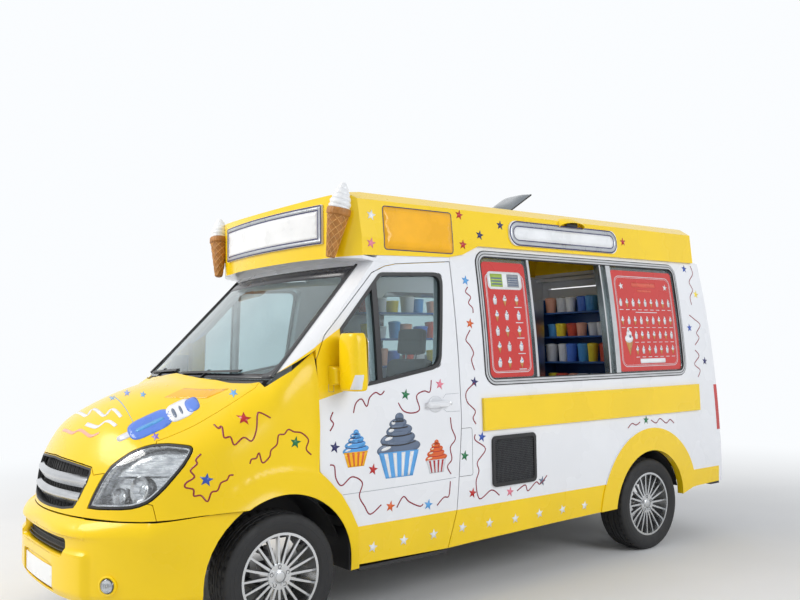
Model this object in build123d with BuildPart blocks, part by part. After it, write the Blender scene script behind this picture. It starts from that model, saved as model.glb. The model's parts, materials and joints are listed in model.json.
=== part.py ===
# Ice cream truck: a van with a serving hatch, a glass-fibre roof cap, signs and two roof cones.
# The front faces -Y, the serving side is +X and the ground is Z = 0. All sizes are in millimetres.

import os
from functools import cache

from build123d import *

os.makedirs("parts", exist_ok=True)

# Overall sizes
LENGTH = 5262
WIDTH = 1992
WHEELBASE = 3250
FRONT_OVERHANG = 1023
FRONT_AXLE_Y = FRONT_OVERHANG - LENGTH / 2
GAP = 6
JOINT_FIT = 0.05


def st(a):
    """Y of a station, given as its distance behind the front axle."""
    return FRONT_AXLE_Y + a


def side_plane(x):
    """A plane facing +X, drawn on as (Y, Z)."""
    return Plane(origin=(x, 0, 0), x_dir=(0, 1, 0), z_dir=(1, 0, 0))


def front_plane(a):
    """A plane at a station facing forward, drawn on as (X, Z)."""
    return Plane(origin=(0, st(a), 0), x_dir=(1, 0, 0), z_dir=(0, -1, 0))


REAR_A = LENGTH - FRONT_OVERHANG

# Wheels
TYRE_R = 347
TYRE_W = 235
RIM_R = 232
RIM_LIP_R = 246
RIM_W = 205
TRACK = 1711
WHEEL_X = TRACK / 2
SPOKES = 20
HUB_R = 70
STUB_R = 32
RIM_T = 7
LIP_W = 8
BEAD_R = RIM_R + 1
SHOULDER_X = 100
SHOULDER_R = 336
HUB_IN = -18
HUB_OUT = 84
SPOKE_X = 52
SPOKE_T = 26
SPOKE_ROOT = 15
SPOKE_TIP = 11
LUG_PCD = 108
LUG_IN = 8
LUG_R = 9
LUG_T = 4
LUGS = 5

# Body section: half-widths at named heights
SILL_Z = 330
SILL_X = 970
BELT_Z = 850
BELT_X = WIDTH / 2
MID_Z = 1568
MID_X = WIDTH / 2 - 22
EAVES_Z = 2290
EAVES_X = WIDTH / 2 - 110
LOW_MID_Z = 560
LOW_MID_X = WIDTH / 2 - 6

# Walls
SKIN = 8
PANEL_T = 12
WALL = 45
DOOR_T = 85

# Bonnet and wings: sections from the nose to the screen.
# a: station, zc: height on the centreline, (xs, zs): bonnet edge, (xf, zf): foot of the wing's shoulder
NOSE_SECTIONS = [
    # a, zc, xs, zs, xf, zf
    (-1030, 1075, 590, 985, 925, 790),
    (-830, 1192, 650, 1060, 950, 850),
    (-600, 1318, 703, 1107, 970, 930),
    (-226, 1420, 823, 1306, 987, 1060),
    (10, 1470, 890, 1416, 992, 1150),
]
SHOULDER_BULGE = 0.11
NOSE_FACE_Z = 872
NOSE_FACE_A = -985
NOSE_CORNER = (700, -804)
NOSE_CHEEK = (905, -565)
NOSE_SIDE = (1012, -120)
NOSE_BACK_A = 900
LEAN_LOW = 0.38
LEAN_HIGH = 0.62
LEAN_Z = 1004
LEAN_REACH = 3000

# Windscreen: a plan arc swept up at 45 degrees
SCREEN_BASE_Z = 1415
SCREEN_BASE_A = -166
SCREEN_CORNER = (898, -31)
SCREEN_BEND = (968, 30)
SCREEN_SIDE = (1000, 140)
COWL_A = -170
CHEEK_X = 862
CHEEK = [(-400, 0), (-15, 0), (-15, 1140), (-70, 1385), (-400, 1385)]

# Back face: leaning forward with height
TAIL_A = 4250
TAIL_LEAN = 0.0655

# Cab
PANEL_TOP_Z = 2262
NOSE_DEEP = 600
DOOR_OUTLINE = [
    (231, 900), (228, 1527), (291, 1665), (487, 1866), (659, 2043), (760, 2088), (851, 2107),
    (1290, 2142), (1294, 1111), (1245, 553), (1182, 326), (502, 336), (488, 554), (374, 755),
]
DOOR_WINDOW = [(402, 1345), (402, 1706), (716, 2046), (1217, 2066), (1142, 1463), (639, 1380)]
DOOR_BOX_FRONT = 70
DOOR_BOX_EDGE = 15
GLASS_T = 5
SCREEN_GLASS = [(898, 1420), (805, 2100), (-805, 2100), (-898, 1420)]
CAB_SIDE = [
    (-260, 1420), (-48, 1420), (225, 1586), (225, 1200), (1298, 1200), (1298, 2290), (-260, 2290),
]
DOOR_FRONT_A = 231
DOOR_ZONE_X = 780
SCUTTLE_SIDE = [(-260, 1376), (30, 1376), (30, 1418), (-260, 1418)]
WIPER_T = 14
# x0, z0, x1, z1 of each blade and arm
WIPERS = [
    (-800, 1436, -190, 1462), (-60, 1446, 600, 1462), (-500, 1424, -480, 1460), (250, 1424, 270, 1460),
]
DIVIDER = (651, 679)
WINDOW_R = 24
GLASS_IN = 26
# x0, x1, a0, a1, z0, z1
MIRROR = (1003, 1213, 330, 450, 1345, 1678)
MIRROR_R = 50
MIRROR_ARM = (940, 1060, 296, 356, 1372, 1500)

# Bonnet: its edge seen from above, and its lower edge seen from the front
HOOD_REAR_A = -190
HOOD_CORNER = (838, -62)
HOOD_SHOULDER = (850, -100)
HOOD_SIDE = (823, -226)
HOOD_MID = (703, -603)
HOOD_FRONT = (580, -790)
HOOD_NOSE = (520, -1190)
HOOD_LEAD = [(0, 1004), (300, 992), (545, 948)]
HOOD_T = 14

# Lamps: the outline seen from the side, and the inner edge seen from the front
LAMP_SIDE = [
    (-960, 765), (-832, 780), (-742, 790), (-622, 872), (-535, 996), (-487, 1085), (-560, 1098),
    (-700, 1094), (-800, 1090), (-960, 1090),
]
LAMP_INNER = [(497, 700), (505, 775), (585, 1080), (590, 1200)]
LAMP_T = 70
LAMP_GAP = 3

# Grille, seen from the front
GRILLE = [(0, 998), (300, 986), (535, 942), (334, 756), (0, 740)]
GRILLE_FRAME = 26
SLATS = [(795, 845), (880, 930)]

GRILLE_T = 46
MESH_T = 10
FRONT_PANEL_SIDE = [(-1100, 717), (-678, 717), (-692, 830), (-692, 1010), (-1100, 1010)]

# Wing outline seen from the side
WING_SIDE = [
    (-692, 832), (-676, 717), (-286, 717), (60, 600), (430, 310), (496, 318),
    (482, 557), (368, 758), (225, 902), (225, 1577), (-62, 1403), (-692, 1403),
]

# Bumper
BUMPER_TOP_Z = 714
BUMPER_LOW_Z = 295
BUMPER_T = 40
BUMPER_SHELF = 90
BUMPER_BACK = 900
BUMPER_CORNER = (560, -985)
BUMPER_CHEEK = (845, -790)
BUMPER_TURN = (940, -540)
BUMPER_END = (985, -284)
SLOT = (345, 511, 607)
PLATE = (520, 111, 385)
PLATE_T = 4
PLATE_POCKET = (560, 150, 385)
PLATE_POCKET_T = 14

# Arches
FRONT_ARCH_R = 452
REAR_ARCH_R = 415
FRONT_FLARE_R = 594
REAR_FLARE_R = 590
FLARE_OUT = 8
FRONT_LINER_X = 525
REAR_LINER_X = 690
LINER_OUT_X = 930
LINER_T = 8

# Sides: front edge behind the door, then the lower edge
SIDE_EDGE = [
    (1300, 1111), (1251, 553), (1188, 326), (1448, 334), (2175, 351), (2840, 362), (3640, 372),
    (3800, 420),
]
TAIL_LOW_Z = 430
SEAM = 2
PANE_IN = 12

# Serving hatch, menu boards and side fittings on the serving side
HATCH_A0 = 1526
HATCH_A1 = 3753
HATCH_Z0 = 1335
HATCH_Z1 = 2230
HATCH_R = 90
FRAME_W = 36
FRAME_PROUD = 6
BARS = [(2006, 2028), (2790, 2805), (2866, 2918)]
PANES = [(HATCH_A0 + FRAME_W, 2006), (2805, 2866), (2918, HATCH_A1 - FRAME_W)]
BOARDS = [(1580, 1987), (2930, 3700)]
BOARD_Z = (1378, 2163)
BOARD_R = 30
BOARD_T = 4
FAR_WINDOW = (2050, 2950, 1480, 2080)
STRIP = (1479, 3896, 1038, 1250)
STRIP_T = 18
VENT = (1554, 1958, 667, 996)
VENT_R = 30
VENT_T = 14
VENT_FRAME = 22
VENT_MESH = 4

# Rear doors, lamps and bumper
REAR_DOOR_X = 780
REAR_DOOR_Z = (554, 2156)
REAR_MEET = 5
# Their hinges: each has a knuckle on the door between two on the frame
BARREL_X = 790
BARREL_OUT = 10
BARREL_R = 9
KNUCKLE_LONG = 38
HINGE_LOW_Z = (640, 1280, 1950)
LEAF_LONG = 45
LEAF_CLEAR = 12
ARM_T = 6
TAIL_LAMP_X = (850, 1000)
TAIL_LAMP_Z = (860, 1240)
REAR_BUMPER_X = 940
REAR_BUMPER = [(4224, 545), (4239, 540), (4239, 400), (4120, 400), (4120, 428), (4224, 428)]

# Roof cap
ROOF_FRONT_A = 430
ROOF_CORNER = (650, 485)
ROOF_TURN = (868, 560)
ROOF_SIDE_A = 700
ROOF_REAR_A = 4005
ROOF_CREST_Z = 2605
ROOF_SHOULDER = (800, 2560)
ROOF_EDGE = (893, 2500)
ROOF_LIP = (914, 2264)
ROOF_T = 42
ROOF_LOW = [
    (380, 2150), (484, 2150), (1283, 2173), (1408, 2197), (1551, PANEL_TOP_Z), (4100, PANEL_TOP_Z),
    (4100, 2700), (380, 2700),
]
BROW_LOW_Z = 2060
BROW = [(380, 2160), (800, 2104), (800, 2126), (380, 2182)]
ROOF_PROFILE = [
    (300, 2000), (300, 2490), (470, 2532), (1000, 2610), (4200, 2600), (4200, 2000),
]

# Signs
SIGN_T = 14
FRONT_SIGN = (1310, 2240, 2485)
SIDE_SIGN = (1842, 3004, 2286, 2463)
SIGN_R = 70
LAMP_HOOD = (2353, 2630, 2440, 2537)
LAMP_HOOD_X = (860, 962)

# Roof cones
CONE_FOOT = (775, 458, 2141)
CONE_TIP = (855, 512, 2605)
# radius and distance from the foot along the cone's own line
CONE_PROFILE = [
    (0, 0), (24, 2), (28, 8), (66, 262), (74, 266), (74, 304), (70, 308), (73, 322), (70, 352),
    (58, 392), (40, 432), (16, 471),
]

# Roof vent with its lid, stored open
LID_A = 2375
LID_Z = 2650
LID_X = (100, 400)
LID_LONG = 285
LID_T = 22
LID_OPEN = 32
UPSTAND_IN = 16
UPSTAND_T = 24
UPSTAND_Z = LID_Z - 8

# Floor, sills and bulkhead
FLOOR_Z = 640
FLOOR_T = 40
STEP_X = (800, 876, 968)
STEP_Z = (300, 320)
STEP_A = (505, 1180)
BULKHEAD_A = 150
BULKHEAD_T = 30
BULKHEAD_X = 900
BULKHEAD_Z = (560, 830, 1380)
PILLAR_X = (850, 955)
PILLAR_A = (140, 250)
PILLAR_TOP_Z = 1560

# Frame and running gear
RAIL_X = (400, 470)
RAIL_Z = (440, FLOOR_Z - FLOOR_T - 40)
RAIL_A = (-955, 4100)
CROSS_A = [560, 1100, 1800, 2500, 3850]
CROSS_LONG = 60
# Bolt holes through the rails behind the last crossmember, for a tow bar
TOW_A = (3950, 4060)
TOW_Z = (470, 530)
TOW_HOLE_R = 6.5
CROSS_X = 790
BEAM_Z = (240, 330)
BEAM_A = 60
KINGPIN_X = 790
KINGPIN_R = 18
KINGPIN_Z = (232, 490)
EYE_R = 34
LOWER_EYE = (225, 258)
UPPER_EYE = (438, 471)
ARM_A = 40
KNUCKLE_X = (750, 830)
KNUCKLE_A = 45
KNUCKLE_Z = (290, 400)
STUB_END = 60
AXLE_R = 48
AXLE_X = 700
SPRING_LONG = 1200
SPRING_T = 30
SPRING_X = (405, 465)
SHACKLE_LONG = 40
AXLE_PAD_A = 50

# Engine, tank and exhaust: x0, x1, a0, a1, z0, z1
ENGINE = (-260, 260, -700, 60, 430, 1050)
TANK = (490, 880, 1250, 2150, 300, RAIL_Z[1])
TANK_R = 40
# x, a, z of each corner of the pipe's line
PIPE = [
    (-300, 80, 360), (-300, 560, 340), (-600, 1000, 330), (-600, 2350, 330), (-700, 2560, 330),
    (-900, 2640, 330),
]
PIPE_R = 27
PIPE_BEND = 120
SILENCER = (-700, -500, 1480, 2120, 250, 410)
SILENCER_R = 60

# Cab fittings
DASH_X = 840
DASH_SIDE = [(180, 1000), (180, 1340), (300, 1330), (470, 1180), (470, 960), (380, 900), (250, 900)]
DRIVER_X = -430
STEER_A = 655
STEER_Z = 1160
STEER_LEAN = 32
STEER_R = 185
STEER_TUBE_R = 16
STEER_HUB_R = 46
SHAFT_R = 12
SHAFT_LONG = 150
SHROUD_R = 34
SHROUD_LONG = 210
SEAT_HALF = 240
SEAT_SIDE = [
    (860, 800), (860, 930), (1220, 905), (1290, 1530), (1300, 1720), (1390, 1720), (1380, 1500),
    (1345, 800),
]
SEAT_BASE = (900, 1300)
SEAT_BASE_HALF = 200

# Fittings in the back: x0, x1, a0, a1, z0, z1
COUNTERS = [(560, 925, 1560, 2800, FLOOR_Z, 1320), (-925, -560, 1560, 2750, FLOOR_Z, 1250)]
MACHINE = (-660, -330, 2900, 3500, FLOOR_Z, 2000)


def nose_section(a, zc, xs, zs, xf, zf):
    """Half arcs of one bonnet section, closed down to the sill."""
    dx, dz = xf - xs, zs - zf
    mid = ((xs + xf) / 2 + SHOULDER_BULGE * dz, (zs + zf) / 2 + SHOULDER_BULGE * dx)
    with BuildSketch(front_plane(a)) as section:
        with BuildLine():
            ThreePointArc((-xs, zs), (0, zc), (xs, zs))
            ThreePointArc((xs, zs), mid, (xf, zf))
            Polyline((xf, zf), (xf, 0), (-xf, 0), (-xf, zf))
            ThreePointArc((-xf, zf), (-mid[0], mid[1]), (-xs, zs))
        make_face()
    return section.sketch


def nose_plan(z, shift, inset):
    """The nose outline seen from above, moved back by shift."""
    with BuildSketch(Plane.XY.offset(z)) as plan:
        with BuildLine():
            cx, ca = NOSE_CORNER
            kx, ka = NOSE_CHEEK
            sx, sa = NOSE_SIDE
            ThreePointArc(
                (-cx, st(ca + shift)), (0, st(NOSE_FACE_A + shift)), (cx, st(ca + shift))
            )
            ThreePointArc((cx, st(ca + shift)), (kx, st(ka + shift)), (sx, st(sa + shift)))
            Polyline(
                (sx, st(sa + shift)), (sx, st(NOSE_BACK_A)), (-sx, st(NOSE_BACK_A)), (-sx, st(sa + shift))
            )
            ThreePointArc(
                (-sx, st(sa + shift)), (-kx, st(ka + shift)), (-cx, st(ca + shift))
            )
        make_face()
        if inset:
            offset(amount=-inset)
    return plan.sketch


@cache
def nose_form(inset):
    """The bonnet, wings and nose as one solid, drawn in by inset."""
    t = inset
    with BuildPart() as form:
        for a, zc, xs, zs, xf, zf in NOSE_SECTIONS:
            add(nose_section(a, zc - t, xs - t / 2, zs - t, xf - t, zf - t / 2))
        loft()
        add(nose_plan(0, 0, t))
        extrude(amount=2 * NOSE_FACE_Z, mode=Mode.INTERSECT)
        add(nose_plan(0, -LEAN_LOW * NOSE_FACE_Z, t))
        extrude(amount=LEAN_REACH, dir=(0, LEAN_LOW, 1), mode=Mode.INTERSECT)
        high = -LEAN_LOW * NOSE_FACE_Z + (LEAN_LOW - LEAN_HIGH) * LEAN_Z
        add(nose_plan(0, high, t))
        extrude(amount=LEAN_REACH, dir=(0, LEAN_HIGH, 1), mode=Mode.INTERSECT)
    return form.part


def body_section(a, inset):
    """The cross-section of the panelled body at a station."""
    with BuildSketch(front_plane(a)) as section:
        with BuildLine():
            ThreePointArc((BELT_X, BELT_Z), (MID_X, MID_Z), (EAVES_X, EAVES_Z))
            Line((EAVES_X, EAVES_Z), (-EAVES_X, EAVES_Z))
            ThreePointArc((-EAVES_X, EAVES_Z), (-MID_X, MID_Z), (-BELT_X, BELT_Z))
            ThreePointArc((-BELT_X, BELT_Z), (-LOW_MID_X, LOW_MID_Z), (-SILL_X, SILL_Z))
            Polyline((-SILL_X, SILL_Z), (-SILL_X, 0), (SILL_X, 0), (SILL_X, SILL_Z))
            ThreePointArc((SILL_X, SILL_Z), (LOW_MID_X, LOW_MID_Z), (BELT_X, BELT_Z))
        make_face()
        if inset:
            offset(amount=-inset)
    return section.sketch


def tail_a(z):
    """The station of the leaning back face at a height."""
    return TAIL_A - TAIL_LEAN * z


@cache
def body_form(inset):
    """The panelled body behind the windscreen, drawn in by inset."""
    cx, ca = SCREEN_CORNER
    bend_x, bend_a = SCREEN_BEND
    side_x, side_a = SCREEN_SIDE
    base, back = SCREEN_BASE_A, -SCREEN_BASE_Z
    with BuildPart() as form:
        add(body_section(REAR_A, inset))
        extrude(amount=REAR_A - COWL_A, dir=(0, -1, 0))
        with BuildSketch(Plane.XY):
            with BuildLine():
                ThreePointArc((-cx, st(ca + back)), (0, st(base + back)), (cx, st(ca + back)))
                ThreePointArc(
                    (cx, st(ca + back)), (bend_x, st(bend_a + back)), (side_x, st(side_a + back))
                )
                Polyline(
                    (side_x, st(side_a + back)), (side_x, st(LENGTH)),
                    (-side_x, st(LENGTH)), (-side_x, st(side_a + back)),
                )
                ThreePointArc(
                    (-side_x, st(side_a + back)), (-bend_x, st(bend_a + back)), (-cx, st(ca + back))
                )
            make_face()
            if inset:
                offset(amount=-inset)
        extrude(amount=3 * SCREEN_BASE_Z, dir=(0, 1, 1), mode=Mode.INTERSECT)
        with BuildSketch(side_plane(-WIDTH)):
            ahead, high = st(-LENGTH), 2 * EAVES_Z
            Polygon(
                (ahead, 0), (st(tail_a(0)) - inset, 0), (st(tail_a(high)) - inset, high), (ahead, high),
                align=None,
            )
        extrude(amount=2 * WIDTH, mode=Mode.INTERSECT)
        for side in (1, -1):
            with BuildSketch(side_plane(-WIDTH if side < 0 else CHEEK_X)):
                Polygon(*[(st(a), z) for a, z in CHEEK], align=None)
            extrude(amount=WIDTH - CHEEK_X, mode=Mode.SUBTRACT)
    return form.part


@cache
def whole_form(inset):
    """The whole body without its roof cap: cab, load space and nose."""
    with BuildPart() as form:
        add(body_form(inset))
        add(nose_form(inset))
    return form.part


def side_prism(points, x0, x1):
    """A side-view outline, given as (station, height), through the width x0 to x1."""
    with BuildPart() as prism:
        with BuildSketch(side_plane(x0)):
            Polygon(*[(st(a), z) for a, z in points], align=None)
        extrude(amount=x1 - x0)
    return prism.part


def front_prism(points, a0, a1):
    """A front-view outline, given as (X, Z), from station a0 to a1."""
    with BuildPart() as prism:
        with BuildSketch(front_plane(a1)):
            Polygon(*points, align=None)
        extrude(amount=a1 - a0)
    return prism.part


def axle_disc(a, radius, x0, x1):
    """A cylinder across the vehicle about an axle's centre."""
    with BuildPart() as disc:
        with BuildSketch(side_plane(x0)):
            with Locations((st(a), TYRE_R)):
                Circle(radius)
        extrude(amount=x1 - x0)
    return disc.part


def mirrored(part):
    """The same piece on the other side of the vehicle."""
    return mirror(part, about=Plane.YZ)


def save(part, name):
    """Write one piece as a file of its own."""
    part.label = name
    export_step(part, f"parts/{name}.step")


def hood_prism(grow):
    """The bonnet's outline from above and from the front, grown by grow."""
    cx, ca = HOOD_CORNER
    edge = [HOOD_CORNER, HOOD_SHOULDER, HOOD_SIDE, HOOD_MID, HOOD_FRONT, HOOD_NOSE]
    with BuildPart() as prism:
        with BuildSketch(Plane.XY):
            with BuildLine():
                ThreePointArc((-cx, st(ca)), (0, st(HOOD_REAR_A)), (cx, st(ca)))
                Polyline(
                    *[(x, st(a)) for x, a in edge],
                    *[(-x, st(a)) for x, a in edge[::-1]],
                )
            make_face()
            if grow:
                offset(amount=grow)
        extrude(amount=2 * SCREEN_BASE_Z)
        right = [(-x, z - grow) for x, z in HOOD_LEAD[:0:-1]]
        left = [(x, z - grow) for x, z in HOOD_LEAD]
        top = 2 * SCREEN_BASE_Z
        face = [(-WIDTH, right[0][1])] + right + left + [(WIDTH, left[-1][1])]
        add(
            front_prism(face + [(WIDTH, top), (-WIDTH, top)], -LENGTH, LENGTH),
            mode=Mode.INTERSECT,
        )
    return prism.part


def lamp_prism(grow):
    """The left headlamp's outline from the side, with its inner edge from the front."""
    with BuildPart() as prism:
        with BuildSketch(side_plane(LAMP_INNER[0][0] - grow)):
            Polygon(*[(st(a), z) for a, z in LAMP_SIDE], align=None)
            if grow:
                offset(amount=grow)
        extrude(amount=WIDTH / 2)
        with BuildSketch(front_plane(0)):
            edge = [(x - grow, z) for x, z in LAMP_INNER]
            Polygon(*edge, (WIDTH, edge[-1][1]), (WIDTH, edge[0][1]), align=None)
        extrude(amount=FRONT_OVERHANG, mode=Mode.INTERSECT)
    return prism.part


def grille_prism(grow):
    """The grille's outline from the front, through the nose."""
    with BuildPart() as prism:
        with BuildSketch(front_plane(-NOSE_DEEP)):
            right = [(-x, z) for x, z in GRILLE[-2:0:-1]]
            Polygon(*GRILLE, *right, align=None)
            if grow:
                offset(amount=grow)
        extrude(amount=FRONT_OVERHANG)
    return prism.part


def grille_bars():
    """The grille's frame and slats, as a front-view prism."""
    with BuildPart() as prism:
        with BuildSketch(front_plane(-NOSE_DEEP)):
            right = [(-x, z) for x, z in GRILLE[-2:0:-1]]
            Polygon(*GRILLE, *right, align=None)
            with BuildSketch(front_plane(-NOSE_DEEP), mode=Mode.SUBTRACT):
                Polygon(*GRILLE, *right, align=None)
                offset(amount=-GRILLE_FRAME)
            for low, high in SLATS:
                with BuildSketch(front_plane(-NOSE_DEEP)):
                    Polygon(*GRILLE, *right, align=None)
                    with Locations((0, (low + high) / 2)):
                        Rectangle(WIDTH, high - low, mode=Mode.INTERSECT)
        extrude(amount=FRONT_OVERHANG)
    return prism.part


def bumper_form(inset, tall=BUMPER_TOP_Z - BUMPER_LOW_Z):
    """The front bumper's solid form, drawn in by inset."""
    with BuildPart() as form:
        with BuildSketch(Plane.XY.offset(BUMPER_LOW_Z - inset)):
            with BuildLine():
                cx, ca = BUMPER_CORNER
                kx, ka = BUMPER_CHEEK
                tx, ta = BUMPER_TURN
                ex, ea = BUMPER_END
                ThreePointArc((-cx, st(ca)), (0, st(-FRONT_OVERHANG)), (cx, st(ca)))
                ThreePointArc((cx, st(ca)), (kx, st(ka)), (tx, st(ta)))
                back = st(ea) + 2 * inset
                Polyline((tx, st(ta)), (ex, back), (-ex, back), (-tx, st(ta)))
                ThreePointArc((-tx, st(ta)), (-kx, st(ka)), (-cx, st(ca)))
            make_face()
            if inset:
                offset(amount=-inset)
        extrude(amount=tall)
    return form.part


def door_prism(grow, x0):
    """A door's side-view outline, grown by grow, through the width of one side."""
    with BuildPart() as prism:
        with BuildSketch(side_plane(x0)):
            Polygon(*[(st(a), z) for a, z in DOOR_OUTLINE], align=None)
            if grow:
                offset(amount=grow)
        extrude(amount=WIDTH)
    return prism.part


def door_window():
    """The door's window opening on both sides of its divider."""
    with BuildPart() as prism:
        with BuildSketch(side_plane(DOOR_ZONE_X)) as opening:
            Polygon(*[(st(a), z) for a, z in DOOR_WINDOW], align=None)
            fillet(opening.vertices(), WINDOW_R)
            with Locations((st(sum(DIVIDER) / 2), EAVES_Z / 2)):
                Rectangle(DIVIDER[1] - DIVIDER[0], EAVES_Z, mode=Mode.SUBTRACT)
        extrude(amount=WIDTH)
    return prism.part


@cache
def nose_shell(out, deep):
    """The nose between two depths under its surface."""
    with BuildPart() as shell:
        add(nose_form(out))
        add(nose_form(deep), mode=Mode.SUBTRACT)
    return shell.part


@cache
def body_shell(out, deep):
    """The panelled body between two depths under its surface."""
    with BuildPart() as shell:
        add(body_form(out))
        add(body_form(deep), mode=Mode.SUBTRACT)
    return shell.part


@cache
def whole_shell(out, deep):
    """Body and nose together between two depths under their surface."""
    with BuildPart() as shell:
        add(whole_form(out))
        add(whole_form(deep), mode=Mode.SUBTRACT)
    return shell.part


def window_prism(outline, radius, x0=0, x1=WIDTH):
    """A window's side-view outline with round corners, as a prism across the vehicle."""
    with BuildPart() as prism:
        with BuildSketch(side_plane(x0)) as opening:
            Polygon(*[(st(a), z) for a, z in outline], align=None)
            fillet(opening.vertices(), radius)
        extrude(amount=x1 - x0)
    return prism.part


def rectangle(a0, a1, z0, z1):
    """The four corners of a side-view rectangle."""
    return [(a0, z0), (a1, z0), (a1, z1), (a0, z1)]


def block(x0, x1, a0, a1, z0, z1):
    """A plain block between two corners."""
    with BuildPart(Plane((x0, st(a0), z0))) as solid:
        Box(x1 - x0, a1 - a0, z1 - z0, align=(Align.MIN, Align.MIN, Align.MIN))
    return solid.part


@cache
def roof_form(inset):
    """The roof cap's outer form, drawn in by inset."""
    with BuildPart() as form:
        with BuildSketch(front_plane(ROOF_REAR_A - inset)):
            with BuildLine():
                ThreePointArc(
                    (-ROOF_SHOULDER[0], ROOF_SHOULDER[1]), (0, ROOF_CREST_Z), ROOF_SHOULDER
                )
                Polyline(
                    ROOF_SHOULDER, ROOF_EDGE, ROOF_LIP, (ROOF_LIP[0], BROW_LOW_Z),
                    (-ROOF_LIP[0], BROW_LOW_Z), (-ROOF_LIP[0], ROOF_LIP[1]),
                    (-ROOF_EDGE[0], ROOF_EDGE[1]), (-ROOF_SHOULDER[0], ROOF_SHOULDER[1]),
                )
            make_face()
            if inset:
                offset(amount=-inset)
        extrude(amount=ROOF_REAR_A - inset)
        with BuildSketch(Plane.XY):
            with BuildLine():
                cx, ca = ROOF_CORNER
                tx, ta = ROOF_TURN
                sx, sa = WIDTH / 2, ROOF_SIDE_A
                ThreePointArc((-cx, st(ca)), (0, st(ROOF_FRONT_A)), (cx, st(ca)))
                ThreePointArc((cx, st(ca)), (tx, st(ta)), (sx, st(sa)))
                Polyline((sx, st(sa)), (sx, st(LENGTH)), (-sx, st(LENGTH)), (-sx, st(sa)))
                ThreePointArc((-sx, st(sa)), (-tx, st(ta)), (-cx, st(ca)))
            make_face()
            if inset:
                offset(amount=-inset)
        extrude(amount=2 * ROOF_CREST_Z, mode=Mode.INTERSECT)
        with BuildSketch(side_plane(-WIDTH)):
            Polygon(*[(st(a), z) for a, z in ROOF_PROFILE], align=None)
            if inset:
                offset(amount=-inset)
        extrude(amount=2 * WIDTH, mode=Mode.INTERSECT)
    return form.part


@cache
def roof_shell_form(out, deep):
    """The roof cap between two depths under its surface."""
    with BuildPart() as shell:
        add(roof_form(out))
        add(roof_form(deep), mode=Mode.SUBTRACT)
    return shell.part


def tail_slab(deep):
    """The body's back to a depth under its leaning back face."""
    top = 2 * EAVES_Z
    outline = [(tail_a(0) - deep, 0), (tail_a(0), 0), (tail_a(top), top), (tail_a(top) - deep, top)]
    return inside(body_form(0), side_prism(outline, -WIDTH, WIDTH))


def hinge_knuckle(z, side):
    """One knuckle of a left rear hinge with its leaf, on the frame (side 1) or the door (side -1)."""
    low, high = z, z + KNUCKLE_LONG
    base, top = tail_a(low), tail_a(high)
    with BuildPart() as knuckle:
        add(
            cylinder(
                (BARREL_X, st(base + BARREL_OUT), low), (0, -TAIL_LEAN, 1), BARREL_R, KNUCKLE_LONG
            )
        )
        # how far the leaf goes down from the hinge's line, and how near to it in X
        for deep, near in ((BARREL_OUT + SEAM, LEAF_CLEAR), (ARM_T, 0)):
            x0, x1 = sorted((BARREL_X + side * near, BARREL_X + side * LEAF_LONG))
            base_out, top_out = base + BARREL_OUT, top + BARREL_OUT
            add(
                side_prism(
                    [(base_out - deep, low), (base_out, low), (top_out, high), (top_out - deep, high)],
                    x0, x1,
                )
            )
    return knuckle.part


def hatch_hollow():
    """The openings between the hatch frame's bars."""
    inner = rectangle(HATCH_A0 + FRAME_W, HATCH_A1 - FRAME_W, HATCH_Z0 + FRAME_W, HATCH_Z1 - FRAME_W)
    with BuildPart() as hollow:
        add(window_prism(inner, HATCH_R - FRAME_W))
        for a0, a1 in BARS:
            add(block(0, WIDTH, a0, a1, 0, EAVES_Z), mode=Mode.SUBTRACT)
    return hollow.part


def far_hollow():
    """The opening inside the far window's frame."""
    a0, a1, z0, z1 = FAR_WINDOW
    inner = rectangle(a0 + FRAME_W, a1 - FRAME_W, z0 + FRAME_W, z1 - FRAME_W)
    return window_prism(inner, HATCH_R - FRAME_W, -WIDTH, 0)


def cylinder(centre, direction, radius, length):
    """A round bar from a point along a direction."""
    with BuildPart() as bar:
        with BuildSketch(Plane(origin=centre, z_dir=direction)):
            Circle(radius)
        extrude(amount=length)
    return bar.part


def inside(solid, *regions):
    """What of a solid lies inside every region."""
    with BuildPart() as piece:
        add(solid)
        for region in regions:
            add(region, mode=Mode.INTERSECT)
    return piece.part


# The forms that the panels are cut from
outer = whole_form(0)
skin_shell = whole_shell(0, PANEL_T)
wall_shell = body_shell(0, WALL)
hood_room = hood_prism(GAP)
lamp_room = lamp_prism(LAMP_GAP)
lamp_rooms = (lamp_room, mirrored(lamp_room))
screen_room = front_prism(SCREEN_GLASS, COWL_A - NOSE_DEEP, 2 * NOSE_DEEP)

# Bonnet
with BuildPart() as hood:
    add(nose_shell(0, HOOD_T))
    add(hood_prism(0), mode=Mode.INTERSECT)
    add(lamp_rooms, mode=Mode.SUBTRACT)
save(hood.part, "hood")

# Panel round the grille and under the lamps
with BuildPart() as front_panel:
    add(nose_shell(0, PANEL_T))
    add(side_prism(FRONT_PANEL_SIDE, -WIDTH, WIDTH), mode=Mode.INTERSECT)
    add(hood_room, mode=Mode.SUBTRACT)
    add(grille_prism(SEAM), mode=Mode.SUBTRACT)
    add(lamp_rooms, mode=Mode.SUBTRACT)
save(front_panel.part, "front_panel")

# Headlamps
with BuildPart() as headlamps:
    add(nose_shell(SEAM, LAMP_T))
    add(lamp_prism(0), mode=Mode.INTERSECT)
    add(mirrored(headlamps.part))
save(headlamps.part, "headlamps")

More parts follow.
